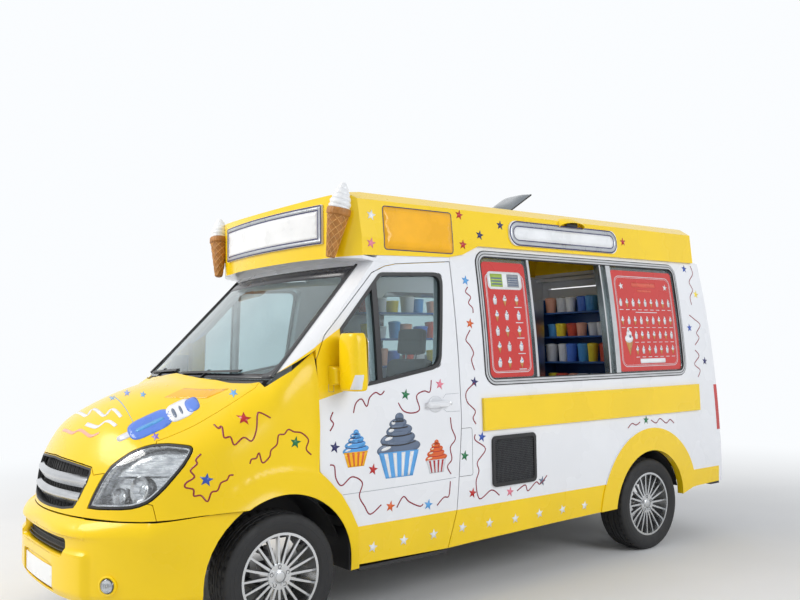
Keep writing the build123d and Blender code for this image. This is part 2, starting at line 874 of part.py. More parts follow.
# Wings
with BuildPart() as wing:
    add(skin_shell)
    add(inside(whole_shell(-FLARE_OUT, 0), axle_disc(0, FRONT_FLARE_R, 0, WIDTH)))
    add(side_prism(WING_SIDE, FRONT_LINER_X, WIDTH), mode=Mode.INTERSECT)
    add(hood_room, mode=Mode.SUBTRACT)
    add(lamp_room, mode=Mode.SUBTRACT)
    add(axle_disc(0, FRONT_ARCH_R, 0, WIDTH), mode=Mode.SUBTRACT)
    add(screen_room, mode=Mode.SUBTRACT)
save(wing.part, "left_wing")
save(mirrored(wing.part), "right_wing")

# Grille: a frame, two slats and the mesh behind them
with BuildPart() as grille:
    add(nose_shell(GRILLE_T - MESH_T, GRILLE_T))
    add(grille_prism(0), mode=Mode.INTERSECT)
    add(inside(nose_shell(SEAM, GRILLE_T), grille_bars()))
save(grille.part, "grille")

# Front bumper: hollow behind, with its slot and plate pocket
with BuildPart() as front_bumper:
    add(bumper_form(0))
    add(bumper_form(BUMPER_T), mode=Mode.SUBTRACT)
    add(bumper_form(BUMPER_SHELF, 2 * BUMPER_TOP_Z), mode=Mode.SUBTRACT)
    add(axle_disc(0, FRONT_ARCH_R, -WIDTH, WIDTH), mode=Mode.SUBTRACT)
    half, low, high = SLOT
    add(block(-half, half, -FRONT_OVERHANG, -BUMPER_BACK, low, high), mode=Mode.SUBTRACT)
    wide, tall, mid = PLATE_POCKET
    add(
        block(
            -wide / 2, wide / 2, -FRONT_OVERHANG, PLATE_POCKET_T - FRONT_OVERHANG,
            mid - tall / 2, mid + tall / 2,
        ),
        mode=Mode.SUBTRACT,
    )
save(front_bumper.part, "front_bumper")

# Number plate blank in its pocket
with BuildPart() as number_plate:
    wide, tall, mid = PLATE
    back = PLATE_POCKET_T - FRONT_OVERHANG
    add(block(-wide / 2, wide / 2, back - PLATE_T, back, mid - tall / 2, mid + tall / 2))
save(number_plate.part, "number_plate")

# Cab frame: windscreen pillars, header and the rails down to the wings
with BuildPart() as cab_frame:
    add(body_shell(0, WALL))
    add(side_prism(CAB_SIDE, -WIDTH, WIDTH), mode=Mode.INTERSECT)
    add(screen_room, mode=Mode.SUBTRACT)
    for x0 in (DOOR_ZONE_X, -DOOR_ZONE_X - WIDTH):
        add(door_prism(GAP, x0), mode=Mode.SUBTRACT)
save(cab_frame.part, "cab_frame")

# Windscreen
with BuildPart() as windscreen:
    add(body_shell(SEAM, SEAM + GLASS_T))
    add(screen_room, mode=Mode.INTERSECT)
save(windscreen.part, "windscreen")

# Scuttle panel under the wipers
with BuildPart() as scuttle:
    add(whole_shell(PANEL_T, WALL))
    add(side_prism(SCUTTLE_SIDE, -HOOD_CORNER[0], HOOD_CORNER[0]), mode=Mode.INTERSECT)
    add(hood_room, mode=Mode.SUBTRACT)
save(scuttle.part, "scuttle")

# Wipers: two blades with their arms, lying on the glass
with BuildPart() as wipers:
    wiper_shell = body_shell(-WIPER_T, SEAM)
    for x0, z0, x1, z1 in WIPERS:
        strip = [(x0, z0), (x1, z1), (x1, z1 + WIPER_T), (x0, z0 + WIPER_T)]
        add(inside(wiper_shell, front_prism(strip, COWL_A - NOSE_DEEP, NOSE_DEEP)))
save(wipers.part, "wipers")

# Doors: an outer skin to the shut line and a box behind it that swings clear
with BuildPart() as door:
    add(body_shell(0, SKIN))
    add(door_prism(0, DOOR_ZONE_X), mode=Mode.INTERSECT)
    box_front = DOOR_FRONT_A + DOOR_BOX_FRONT
    add(
        inside(
            body_shell(SKIN, DOOR_T),
            door_prism(-DOOR_BOX_EDGE, DOOR_ZONE_X),
            block(DOOR_ZONE_X, WIDTH, box_front, REAR_A, 0, EAVES_Z),
        )
    )
    add(door_window(), mode=Mode.SUBTRACT)
save(door.part, "left_door")
save(mirrored(door.part), "right_door")

with BuildPart() as door_glass:
    add(body_shell(GLASS_IN, GLASS_IN + GLASS_T))
    add(door_window(), mode=Mode.INTERSECT)
save(door_glass.part, "left_door_glass")
save(mirrored(door_glass.part), "right_door_glass")

# Door mirrors: a housing on a short arm
with BuildPart() as door_mirror:
    x0, x1, a0, a1, z0, z1 = MIRROR
    with BuildSketch(Plane.XY.offset(z0)) as base:
        with Locations(((x0 + x1) / 2, st((a0 + a1) / 2))):
            RectangleRounded(x1 - x0, a1 - a0, MIRROR_R)
    extrude(amount=z1 - z0)
    add(block(*MIRROR_ARM))
    add(outer, mode=Mode.SUBTRACT)
save(door_mirror.part, "left_mirror")
save(mirrored(door_mirror.part), "right_mirror")

# Side panels, with the wheel arch, its raised band and the window or hatch cut through
back_low = tail_a(TAIL_LOW_Z) - WALL
back_high = tail_a(PANEL_TOP_Z) - WALL
side_top = [(back_low, TAIL_LOW_Z), (back_high, PANEL_TOP_Z), (SIDE_EDGE[0][0], PANEL_TOP_Z)]
side_outline = SIDE_EDGE + side_top
with BuildPart() as plain_side:
    add(wall_shell)
    add(inside(body_shell(-FLARE_OUT, 0), axle_disc(WHEELBASE, REAR_FLARE_R, 0, WIDTH)))
    add(side_prism(side_outline, DOOR_ZONE_X, WIDTH), mode=Mode.INTERSECT)
    add(axle_disc(WHEELBASE, REAR_ARCH_R, 0, WIDTH), mode=Mode.SUBTRACT)

hatch_outline = rectangle(HATCH_A0, HATCH_A1, HATCH_Z0, HATCH_Z1)
far_outline = rectangle(*FAR_WINDOW)
with BuildPart() as left_side:
    add(plain_side.part)
    add(window_prism(hatch_outline, HATCH_R), mode=Mode.SUBTRACT)
save(left_side.part, "left_side_panel")
with BuildPart() as right_side:
    add(mirrored(plain_side.part))
    add(window_prism(far_outline, HATCH_R, -WIDTH, 0), mode=Mode.SUBTRACT)
save(right_side.part, "right_side_panel")

# Frames of the serving hatch and of the window in the far side
frame_shell = body_shell(-FRAME_PROUD, WALL)
pane_shell = body_shell(PANE_IN, PANE_IN + GLASS_T)
with BuildPart() as window_frames:
    add(inside(frame_shell, window_prism(hatch_outline, HATCH_R)))
    add(hatch_hollow(), mode=Mode.SUBTRACT)
    add(inside(frame_shell, window_prism(far_outline, HATCH_R, -WIDTH, 0)))
    add(far_hollow(), mode=Mode.SUBTRACT)
save(window_frames.part, "side_window_frames")

# Their panes: two bays and a strip of the hatch are glazed, and the bay between stands open
with BuildPart() as side_glass:
    for a0, a1 in PANES:
        add(inside(pane_shell, hatch_hollow(), block(0, WIDTH, a0, a1, HATCH_Z0, HATCH_Z1)))
    add(inside(pane_shell, far_hollow()))
save(side_glass.part, "side_glass")

# Menu boards on the hatch panes, and the lettering boards along both sides, left bare
with BuildPart() as boards:
    board_shell = body_shell(PANE_IN - BOARD_T, PANE_IN)
    for a0, a1 in BOARDS:
        add(inside(board_shell, window_prism(rectangle(a0, a1, *BOARD_Z), BOARD_R)))
    strip = inside(body_shell(-STRIP_T, 0), side_prism(rectangle(*STRIP), 0, WIDTH))
    add(strip)
    add(mirrored(strip))
save(boards.part, "side_boards")

# Vent grille in the serving side: a raised frame round a plate
with BuildPart() as side_vent:
    a0, a1, z0, z1 = VENT
    edge = VENT_FRAME
    add(inside(body_shell(-VENT_T, 0), window_prism(rectangle(*VENT), VENT_R)))
    add(
        side_prism(rectangle(a0 + edge, a1 - edge, z0 + edge, z1 - edge), 0, WIDTH),
        mode=Mode.SUBTRACT,
    )
    add(inside(body_shell(-VENT_MESH, 0), window_prism(rectangle(*VENT), VENT_R)))
save(side_vent.part, "side_vent")

# Rear frame, its two doors and the lamps in its corners
tail = tail_slab(WALL)
lamp_low, lamp_high = TAIL_LAMP_Z
door_low, door_high = REAR_DOOR_Z
with BuildPart() as rear_frame:
    add(tail)
    add(block(-WIDTH, WIDTH, 0, REAR_A, TAIL_LOW_Z, PANEL_TOP_Z), mode=Mode.INTERSECT)
    ledge_a, ledge_z = ROOF_REAR_A - WALL, PANEL_TOP_Z - WALL
    add(inside(body_form(WALL), block(-WIDTH, WIDTH, ledge_a, REAR_A, ledge_z, PANEL_TOP_Z)))
    half = REAR_DOOR_X + GAP
    add(block(-half, half, 0, REAR_A, door_low, door_high), mode=Mode.SUBTRACT)
    for x0 in (TAIL_LAMP_X[0], -TAIL_LAMP_X[1]):
        x1 = x0 + TAIL_LAMP_X[1] - TAIL_LAMP_X[0]
        add(block(x0, x1, 0, REAR_A, lamp_low, lamp_high), mode=Mode.SUBTRACT)
    pitch = KNUCKLE_LONG + SEAM
    frame_knuckles = [hinge_knuckle(z + up, 1) for z in HINGE_LOW_Z for up in (0, 2 * pitch)]
    add(frame_knuckles)
    add([mirrored(knuckle) for knuckle in frame_knuckles])
save(rear_frame.part, "rear_frame")

with BuildPart() as rear_door:
    add(tail)
    add(
        block(REAR_MEET, REAR_DOOR_X, 0, REAR_A, door_low + GAP, door_high - 2 * GAP),
        mode=Mode.INTERSECT,
    )
    add([hinge_knuckle(z + pitch, -1) for z in HINGE_LOW_Z])
save(rear_door.part, "left_rear_door")
save(mirrored(rear_door.part), "right_rear_door")

with BuildPart() as tail_lamps:
    x0, x1 = TAIL_LAMP_X
    add(tail)
    add(
        block(x0 + SEAM, x1, 0, REAR_A, lamp_low + SEAM, lamp_high - SEAM), mode=Mode.INTERSECT
    )
    add(mirrored(tail_lamps.part))
save(tail_lamps.part, "tail_lamps")

# Rear bumper with its step
with BuildPart() as rear_bumper:
    add(side_prism(REAR_BUMPER, -REAR_BUMPER_X, REAR_BUMPER_X))
save(rear_bumper.part, "rear_bumper")

# Roof cap with the brow under its front and the upstand of its vent
with BuildPart() as roof_cap:
    x0, x1 = LID_X
    hole = UPSTAND_IN + UPSTAND_T
    add(inside(roof_shell_form(0, ROOF_T), side_prism(ROOF_LOW, -WIDTH, WIDTH)))
    add(inside(roof_form(0), side_prism(BROW, -WIDTH, WIDTH)))
    add(
        block(
            x0 + UPSTAND_IN, x1 - UPSTAND_IN, LID_A + UPSTAND_IN, LID_A + LID_LONG - UPSTAND_IN,
            ROOF_CREST_Z - ROOF_T + UPSTAND_IN, UPSTAND_Z,
        )
    )
    add(
        block(x0 + hole, x1 - hole, LID_A + hole, LID_A + LID_LONG - hole, EAVES_Z, LID_Z),
        mode=Mode.SUBTRACT,
    )
    add(outer, mode=Mode.SUBTRACT)
save(roof_cap.part, "roof_cap")

# Roof vent lid, standing open on its front hinge
with BuildPart() as vent_lid:
    add(block(*LID_X, LID_A, LID_A + LID_LONG, LID_Z, LID_Z + LID_T))
    fillet(vent_lid.edges().filter_by(Axis.Z), LID_T)
lid_hinge = Axis((0, st(LID_A), LID_Z), (1, 0, 0))
save(vent_lid.part.rotate(lid_hinge, LID_OPEN), "vent_lid")

# Sign panels: one across the front, one on each side
with BuildPart() as signs:
    sign_shell = roof_shell_form(-SIGN_T, 0)
    wide, low, high = FRONT_SIGN
    face = rectangle(-wide / 2, wide / 2, low, high)
    add(inside(sign_shell, front_prism(face, 0, ROOF_SIDE_A)))
    side_sign = inside(sign_shell, window_prism(rectangle(*SIDE_SIGN), SIGN_R))
    add(side_sign)
    add(mirrored(side_sign))
save(signs.part, "sign_panels")

# Lamp hoods over the side signs
with BuildPart() as lamp_hood:
    a0, a1, z0, z1 = LAMP_HOOD
    x0, x1 = LAMP_HOOD_X
    with BuildSketch(side_plane(x0)):
        with BuildLine():
            ThreePointArc((st(a0), z0), (st((a0 + a1) / 2), z1), (st(a1), z0))
            Line((st(a1), z0), (st(a0), z0))
        make_face()
    extrude(amount=x1 - x0)
    add(roof_form(-SIGN_T), mode=Mode.SUBTRACT)
    add(mirrored(lamp_hood.part))
save(lamp_hood.part, "sign_lamps")

# Cones at the roof's front corners: wafer, collar and scoop turned about one leaning line
foot_x, foot_a, foot_z = CONE_FOOT
tip_x, tip_a, tip_z = CONE_TIP
cone_line = Vector(tip_x - foot_x, tip_a - foot_a, tip_z - foot_z)
across = cone_line.cross(Vector(1, 0, 0)).normalized()
foot = Vector(foot_x, st(foot_a), foot_z)
with BuildPart() as cones:
    with BuildSketch(Plane(origin=foot, x_dir=across, z_dir=across.cross(cone_line))):
        Polygon(*CONE_PROFILE, (0, cone_line.length), align=None)
    revolve(axis=Axis(foot, cone_line))
    add(roof_form(0), mode=Mode.SUBTRACT)
    add(mirrored(cones.part))
save(cones.part, "roof_cones")

# Floor with its wheel wells cut away, and the steps under the doors
with BuildPart() as floor:
    floor_a0 = BULKHEAD_A + BULKHEAD_T
    add(body_form(WALL))
    add(
        block(-WIDTH, WIDTH, floor_a0, tail_a(FLOOR_Z) - WALL, FLOOR_Z - FLOOR_T, FLOOR_Z),
        mode=Mode.INTERSECT,
    )
    step_in, step_out, step_lip = STEP_X
    step_a0, step_a1 = STEP_A
    for side in (1, -1):
        # inner face, outer edge, first and last station of each cut
        for x, a0, a1 in (
            (FRONT_LINER_X, 0, FRONT_ARCH_R + 2 * LINER_T),
            (REAR_LINER_X - 2 * LINER_T, WHEELBASE - REAR_ARCH_R - 2 * LINER_T,
             WHEELBASE + REAR_ARCH_R + 2 * LINER_T),
            (step_out, 0, DOOR_OUTLINE[7][0] + 2 * GAP),
        ):
            low, high = sorted((side * x, side * WIDTH))
            add(block(low, high, a0, a1, 0, EAVES_Z), mode=Mode.SUBTRACT)
    for side in (1, -1):
        low, high = sorted((side * step_in, side * step_out))
        add(block(low, high, step_a0, step_a1, STEP_Z[0], FLOOR_Z))
        low, high = sorted((side * step_in, side * step_lip))
        add(block(low, high, step_a0, step_a1, *STEP_Z))
save(floor.part, "floor")

# Bulkhead under the dashboard, with the door pillars at its ends
with BuildPart() as bulkhead:
    low, middle, high = BULKHEAD_Z
    add(block(-BULKHEAD_X, BULKHEAD_X, BULKHEAD_A, BULKHEAD_A + BULKHEAD_T, middle, high))
    half = FRONT_LINER_X - LINER_T
    add(block(-half, half, BULKHEAD_A, BULKHEAD_A + BULKHEAD_T, low, middle))
    for x0 in (PILLAR_X[0], -PILLAR_X[1]):
        add(block(x0, x0 + PILLAR_X[1] - PILLAR_X[0], *PILLAR_A, middle, PILLAR_TOP_Z))
    add(body_form(WALL), mode=Mode.INTERSECT)
save(bulkhead.part, "bulkhead")

# Liners inside the four wheel arches
with BuildPart() as arch_liners:
    # station, radius, inner face, outer face, lowest point of the plate
    for a, radius, x0, x1, low in (
        (0, FRONT_ARCH_R + SEAM, FRONT_LINER_X, PILLAR_X[0] - SEAM, UPPER_EYE[1] + LINER_T),
        (WHEELBASE, REAR_ARCH_R, REAR_LINER_X - LINER_T, LINER_OUT_X, RAIL_Z[0]),
    ):
        with BuildPart(mode=Mode.PRIVATE) as liner:
            add(axle_disc(a, radius + LINER_T, x0, x1))
            add(axle_disc(a, radius, x0 + LINER_T, x1), mode=Mode.SUBTRACT)
            add(block(0, WIDTH, a - WHEELBASE / 2, a + WHEELBASE / 2, low, EAVES_Z), mode=Mode.INTERSECT)
        add(liner.part)
    add(mirrored(arch_liners.part))
save(arch_liners.part, "arch_liners")

# Frame: rails, crossmembers, the front beam and its suspension arms
with BuildPart() as chassis:
    rail_in, rail_out = RAIL_X
    rail_low, rail_high = RAIL_Z
    for x0 in (rail_in, -rail_out):
        add(block(x0, x0 + rail_out - rail_in, *RAIL_A, rail_low, rail_high))
        add(block(x0, x0 + rail_out - rail_in, -BEAM_A, BEAM_A, BEAM_Z[0], rail_low))
    for a in CROSS_A:
        add(block(-CROSS_X, CROSS_X, a, a + CROSS_LONG, rail_high, FLOOR_Z - FLOOR_T))
        add(block(-rail_in, rail_in, a, a + CROSS_LONG, rail_low, rail_high))
    add(block(-rail_in, rail_in, RAIL_A[0] + GAP, ENGINE[2] - GAP, rail_low, rail_high))
    add(block(-rail_out, rail_out, -BEAM_A, BEAM_A, *BEAM_Z))
    for side in (1, -1):
        for low, high in (LOWER_EYE, UPPER_EYE):
            x0, x1 = sorted((side * rail_in, side * KINGPIN_X))
            add(block(x0, x1, -ARM_A / 2, ARM_A / 2, low, high))
            add(cylinder((side * KINGPIN_X, st(0), low), (0, 0, 1), EYE_R, high - low))
            add(
                cylinder((side * KINGPIN_X, st(0), low), (0, 0, 1), KINGPIN_R + JOINT_FIT, high - low),
                mode=Mode.SUBTRACT,
            )
    for a in TOW_A:
        for z in TOW_Z:
            add(cylinder((-rail_out, st(a), z), (1, 0, 0), TOW_HOLE_R, 2 * rail_out), mode=Mode.SUBTRACT)
save(chassis.part, "chassis_frame")

# Steering knuckles: kingpin, block and stub axle
with BuildPart() as knuckle:
    kp_low, kp_high = KINGPIN_Z
    add(cylinder((KINGPIN_X, st(0), kp_low), (0, 0, 1), KINGPIN_R, kp_high - kp_low))
    add(block(*KNUCKLE_X, -KNUCKLE_A, KNUCKLE_A, *KNUCKLE_Z))
    add(cylinder((KINGPIN_X, st(0), TYRE_R), (1, 0, 0), STUB_R, WHEEL_X + STUB_END - KINGPIN_X))
save(knuckle.part, "left_knuckle")
save(mirrored(knuckle.part), "right_knuckle")

# Rear axle with its spring pads, and the leaf springs on it
pad_top = TYRE_R + AXLE_R + GAP
spring_x0, spring_x1 = SPRING_X
with BuildPart() as rear_axle:
    end = WHEEL_X + STUB_END
    add(cylinder((-AXLE_X, st(WHEELBASE), TYRE_R), (1, 0, 0), AXLE_R, 2 * AXLE_X))
    add(cylinder((-end, st(WHEELBASE), TYRE_R), (1, 0, 0), STUB_R, 2 * end))
    for x0 in (spring_x0, -spring_x1):
        a0, a1 = WHEELBASE - AXLE_PAD_A, WHEELBASE + AXLE_PAD_A
        add(block(x0, x0 + spring_x1 - spring_x0, a0, a1, TYRE_R, pad_top))
save(rear_axle.part, "rear_axle")

with BuildPart() as leaf_springs:
    a0, a1 = WHEELBASE - SPRING_LONG / 2, WHEELBASE + SPRING_LONG / 2
    for x0 in (spring_x0, -spring_x1):
        x1 = x0 + spring_x1 - spring_x0
        add(block(x0, x1, a0, a1, pad_top, pad_top + SPRING_T))
        add(block(x0, x1, a0, a0 + SHACKLE_LONG, pad_top + SPRING_T, RAIL_Z[0]))
        add(block(x0, x1, a1 - SHACKLE_LONG, a1, pad_top + SPRING_T, RAIL_Z[0]))
save(leaf_springs.part, "leaf_springs")

# Wheels: every tyre and rim is turned about its own axle
with BuildPart() as tyre:
    half = TYRE_W / 2
    bead = RIM_W / 2 - LIP_W
    with BuildSketch(Plane.XY):
        with BuildLine():
            Line((-bead, BEAD_R), (-bead, RIM_LIP_R))
            ThreePointArc((-bead, RIM_LIP_R), (-half, (RIM_LIP_R + TYRE_R) / 2), (-SHOULDER_X, SHOULDER_R))
            ThreePointArc((-SHOULDER_X, SHOULDER_R), (0, TYRE_R), (SHOULDER_X, SHOULDER_R))
            ThreePointArc((SHOULDER_X, SHOULDER_R), (half, (RIM_LIP_R + TYRE_R) / 2), (bead, RIM_LIP_R))
            Polyline((bead, RIM_LIP_R), (bead, BEAD_R), (-bead, BEAD_R))
        make_face()
    revolve(axis=Axis.X)

# Rim: barrel, hub with its cap, and spokes fanned out between them
with BuildPart() as rim:
    edge = RIM_W / 2
    seat = edge - LIP_W
    with BuildSketch(Plane.XY):
        Polygon(
            (-edge, RIM_R - RIM_T), (-edge, RIM_LIP_R), (-seat, RIM_LIP_R), (-seat, RIM_R),
            (seat, RIM_R), (seat, RIM_LIP_R), (edge, RIM_LIP_R), (edge, RIM_R - RIM_T),
            align=None,
        )
        Polygon(
            (HUB_IN, STUB_R + JOINT_FIT), (HUB_IN, HUB_R), (HUB_OUT, HUB_R), (HUB_OUT, 0),
            (STUB_END + GAP, 0), (STUB_END + GAP, STUB_R + JOINT_FIT), align=None,
        )
    revolve(axis=Axis.X)
    with BuildSketch(Plane.YZ.offset(SPOKE_X)):
        with PolarLocations(0, SPOKES):
            Polygon(
                (HUB_R - SEAM, -SPOKE_ROOT / 2), (RIM_R - RIM_T + SEAM, -SPOKE_TIP / 2),
                (RIM_R - RIM_T + SEAM, SPOKE_TIP / 2), (HUB_R - SEAM, SPOKE_ROOT / 2),
                align=None,
            )
    extrude(amount=SPOKE_T)
    with BuildSketch(Plane.YZ.offset(HUB_OUT)):
        with PolarLocations(LUG_PCD / 2 - LUG_IN, LUGS):
            RegularPolygon(LUG_R, 6)
    extrude(amount=LUG_T)

for x, side in ((WHEEL_X, "left"), (-WHEEL_X, "right")):
    for a, end in ((0, "front"), (WHEELBASE, "rear")):
        centre = Vector(x, st(a), TYRE_R)
        turn = Rotation(0, 0, 0 if x > 0 else 180)
        for piece, kind in ((tyre.part, "tyre"), (rim.part, "rim")):
            save(Location(centre) * turn * piece, f"{end}_{side}_{kind}")

# Fuel tank between the rail and the left sill
with BuildPart() as tank:
    add(block(*TANK))
    fillet(tank.edges().filter_by(Axis.Y), TANK_R)
save(tank.part, "fuel_tank")

# Exhaust: pipe on one bent line, its silencer and a hanger up to the frame
with BuildPart() as exhaust:
    with BuildLine() as pipe_line:
        FilletPolyline(*[(x, st(a), z) for x, a, z in PIPE], radius=PIPE_BEND)
    with BuildSketch(Plane(origin=pipe_line.line @ 0, z_dir=pipe_line.line % 0)):
        Circle(PIPE_R)
    sweep()
    x0, x1, a0, a1, z0, z1 = SILENCER
    with BuildSketch(front_plane(a1)):
        with Locations(((x0 + x1) / 2, (z0 + z1) / 2)):
            RectangleRounded(x1 - x0, z1 - z0, SILENCER_R)
    extrude(amount=a1 - a0)
    middle = (x0 + x1) / 2
    add(
        block(middle - PIPE_R, middle + PIPE_R, CROSS_A[2], CROSS_A[2] + CROSS_LONG, z1 - GAP, RAIL_Z[1])
    )
save(exhaust.part, "exhaust")

# Engine, as one block
with BuildPart() as engine:
    add(block(*ENGINE))
save(engine.part, "engine")

# Dashboard with the shroud of the steering shaft
column = Vector(0, 1, 0).rotate(Axis.X, STEER_LEAN)
wheel_centre = Vector(DRIVER_X, st(STEER_A), STEER_Z)
shroud_end = wheel_centre - column * (STEER_HUB_R / 2 + GAP)
with BuildPart() as dashboard:
    add(side_prism(DASH_SIDE, -DASH_X, DASH_X))
    add(cylinder(shroud_end, -column, SHROUD_R, SHROUD_LONG))
    add(
        cylinder(shroud_end, -column, SHAFT_R + JOINT_FIT, SHROUD_LONG - GAP), mode=Mode.SUBTRACT
    )
save(dashboard.part, "dashboard")

# Steering wheel on its shaft
with BuildPart() as steering_wheel:
    wheel_plane = Plane(origin=wheel_centre, x_dir=(1, 0, 0), z_dir=column)
    with BuildSketch(Plane(origin=wheel_centre, x_dir=(1, 0, 0), z_dir=wheel_plane.y_dir)):
        with Locations((STEER_R, 0)):
            Circle(STEER_TUBE_R)
    revolve(axis=Axis(wheel_centre, column))
    with BuildSketch(wheel_plane.offset(-STEER_HUB_R / 2)):
        Circle(STEER_HUB_R)
    extrude(amount=STEER_HUB_R)
    with BuildSketch(wheel_plane.offset(-STEER_TUBE_R / 2)):
        with PolarLocations(0, 3, start_angle=90):
            with Locations((STEER_R / 2, 0)):
                Rectangle(STEER_R, 2 * STEER_TUBE_R)
    extrude(amount=STEER_TUBE_R)
    add(cylinder(wheel_centre, -column, SHAFT_R, SHAFT_LONG))
save(steering_wheel.part, "steering_wheel")

# Seats: a padded shape on a plinth for each side
with BuildPart() as seats:
    for x in (DRIVER_X, -DRIVER_X):
        add(side_prism(SEAT_SIDE, x - SEAT_HALF, x + SEAT_HALF))
        add(
            block(x - SEAT_BASE_HALF, x + SEAT_BASE_HALF, *SEAT_BASE, FLOOR_Z, SEAT_SIDE[0][1])
        )
save(seats.part, "seats")

# Serving counter and the lockers opposite it
with BuildPart() as counters:
    for sizes in COUNTERS:
        add(block(*sizes))
save(counters.part, "counters")

# Soft-serve machine behind the serving bay
with BuildPart() as machine:
    add(block(*MACHINE))
save(machine.part, "soft_serve_machine")
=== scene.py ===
"""Looks of the ice cream truck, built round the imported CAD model.

Metres, front facing -Y, ground at Z = 0. Shapes are mostly given in millimetres: x to the vehicle's left, a behind
the front axle, z up. Pixels are those of the photograph's 800 x 600 frame.
"""

import json
import math

import bmesh
import bpy
import numpy as np
from mathutils import Matrix, Vector
from mathutils.bvhtree import BVHTree
from mathutils.geometry import delaunay_2d_cdt


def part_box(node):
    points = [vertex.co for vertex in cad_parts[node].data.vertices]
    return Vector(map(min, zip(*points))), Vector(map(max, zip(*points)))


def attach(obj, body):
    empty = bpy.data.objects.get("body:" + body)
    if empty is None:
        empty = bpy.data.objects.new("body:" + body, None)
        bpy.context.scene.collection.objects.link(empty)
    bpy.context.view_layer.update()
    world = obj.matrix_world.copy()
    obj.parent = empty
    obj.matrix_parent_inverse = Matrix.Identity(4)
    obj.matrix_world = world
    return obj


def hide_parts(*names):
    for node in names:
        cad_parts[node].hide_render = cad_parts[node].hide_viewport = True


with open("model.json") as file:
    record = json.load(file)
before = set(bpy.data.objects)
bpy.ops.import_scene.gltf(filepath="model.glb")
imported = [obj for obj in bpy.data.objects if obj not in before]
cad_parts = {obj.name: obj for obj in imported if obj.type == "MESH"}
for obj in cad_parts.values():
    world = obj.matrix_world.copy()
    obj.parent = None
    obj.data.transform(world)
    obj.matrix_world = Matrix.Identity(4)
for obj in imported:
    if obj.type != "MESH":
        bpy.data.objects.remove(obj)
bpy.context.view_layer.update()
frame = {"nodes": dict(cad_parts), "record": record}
nodes = frame["nodes"]
scene = bpy.context.scene

SIDES = (("left", 1), ("right", -1))
AXLE_Y, AXLE_Z = -1.608, 0.347
REAR_AXLE_Y = AXLE_Y + 3.25


def station(a):
    """Y of a point a millimetres behind the front axle."""
    return AXLE_Y + a / 1000


def station_of(point):
    return (point.y - AXLE_Y) * 1000


def P(x, a, z):
    """A point given in millimetres."""
    return Vector((x / 1000, station(a), z / 1000))


# Materials
FINISHES = {}


def new_material(name):
    """A node material, kept by its name, and its shader."""
    material = FINISHES[name] = bpy.data.materials.new(name)
    material.use_nodes = True
    return material, material.node_tree.nodes["Principled BSDF"]


def add_node(owner, kind, inputs, **settings):
    """The outputs of a new node, whose inputs are each given a value or another node's socket."""
    node = owner.node_tree.nodes.new("ShaderNode" + kind)
    for key, value in settings.items():
        setattr(node, key, value)
    for key, value in inputs.items():
        if isinstance(value, bpy.types.NodeSocket):
            owner.node_tree.links.new(value, node.inputs[key])
        else:
            node.inputs[key].default_value = value
    return node.outputs


def noise(material, scale, detail=3.0, stretch=(1, 1, 1)):
    """Noise over the piece's own coordinates."""
    where = add_node(material, "TexCoord", {})["Object"]
    mapped = add_node(material, "Mapping", {"Vector": where, "Scale": stretch})["Vector"]
    return add_node(material, "TexNoise", {"Vector": mapped, "Scale": scale, "Detail": detail})["Fac"]


def ramp(owner, source, low, high, first=0.35, last=0.65, **settings):
    """A number from low to high as source goes from first to last."""
    limits = {"From Min": first, "From Max": last, "To Min": low, "To Max": high}
    return add_node(owner, "MapRange", {"Value": source, **limits}, **settings)["Result"]


def mix(material, fac, one, two):
    """Colour one where fac is 0 and two where it is 1; each is a colour or a socket."""
    one, two = ((*colour, 1) if isinstance(colour, tuple) else colour for colour in (one, two))
    return add_node(material, "Mix", {"Factor": fac, "A": one, "B": two}, data_type="RGBA")["Result"]


def calc(owner, operation, *values):
    return add_node(owner, "Math", dict(enumerate(values)), operation=operation)[0]


def bump(material, height, strength, distance):
    normal = add_node(material, "Bump", {"Height": height, "Strength": strength, "Distance": distance})["Normal"]
    tree = material.node_tree
    tree.links.new(normal, tree.nodes["Principled BSDF"].inputs["Normal"])


def shade(colour, factor):
    return tuple(min(1, channel * factor) for channel in colour)


def dress(surface, scale, dark, light, sockets, rough=None, detail=3.0, stretch=(1, 1, 1)):
    """A material and its shader, given broad changes of colour and roughness and numbers on other sockets."""
    material, shader = surface
    links = material.node_tree.links
    tone = noise(material, scale, detail, stretch)
    links.new(mix(material, ramp(material, tone, 0, 1), dark, light), shader.inputs["Base Color"])
    if rough:
        links.new(ramp(material, tone, *rough), shader.inputs["Roughness"])
    for key, value in sockets.items():
        shader.inputs[key].default_value = value
    return material


def finish(name, colour, roughness, metallic=0.0, coat=0.0, grain=(3.0, 0.06), dimple=(900.0, 0.15, 0.0002)):
    """A finish whose tone changes by grain's scale and spread, with a fine relief."""
    scale, spread = grain
    material = dress(
        new_material(name), scale, shade(colour, 1 - spread), shade(colour, 1 + spread),
        {"Metallic": metallic, "Coat Weight": coat, "Specular IOR Level": 0.2 if coat else 0.5,
         "Coat Roughness": 0.14},
        (roughness * 0.85, roughness * 1.15))
    if dimple:
        bump(material, noise(material, dimple[0], 2.0), *dimple[1:])
    return material


def glass(name, tint, haze):
    """Clear glass with a slight body colour of its own."""
    return dress(new_material(name), 2.0, shade(tint, 0.96), shade(tint, 1.04),
                 {"Transmission Weight": 1 - haze, "Roughness": 0.0, "IOR": 1.45})


YELLOW = (0.91, 0.62, 0.004)
WHITE = (0.80, 0.81, 0.84)
CAST_RELIEF = (220.0, 0.5, 0.0008)
WAFER_RELIEF = (160.0, 0.4, 0.0008)

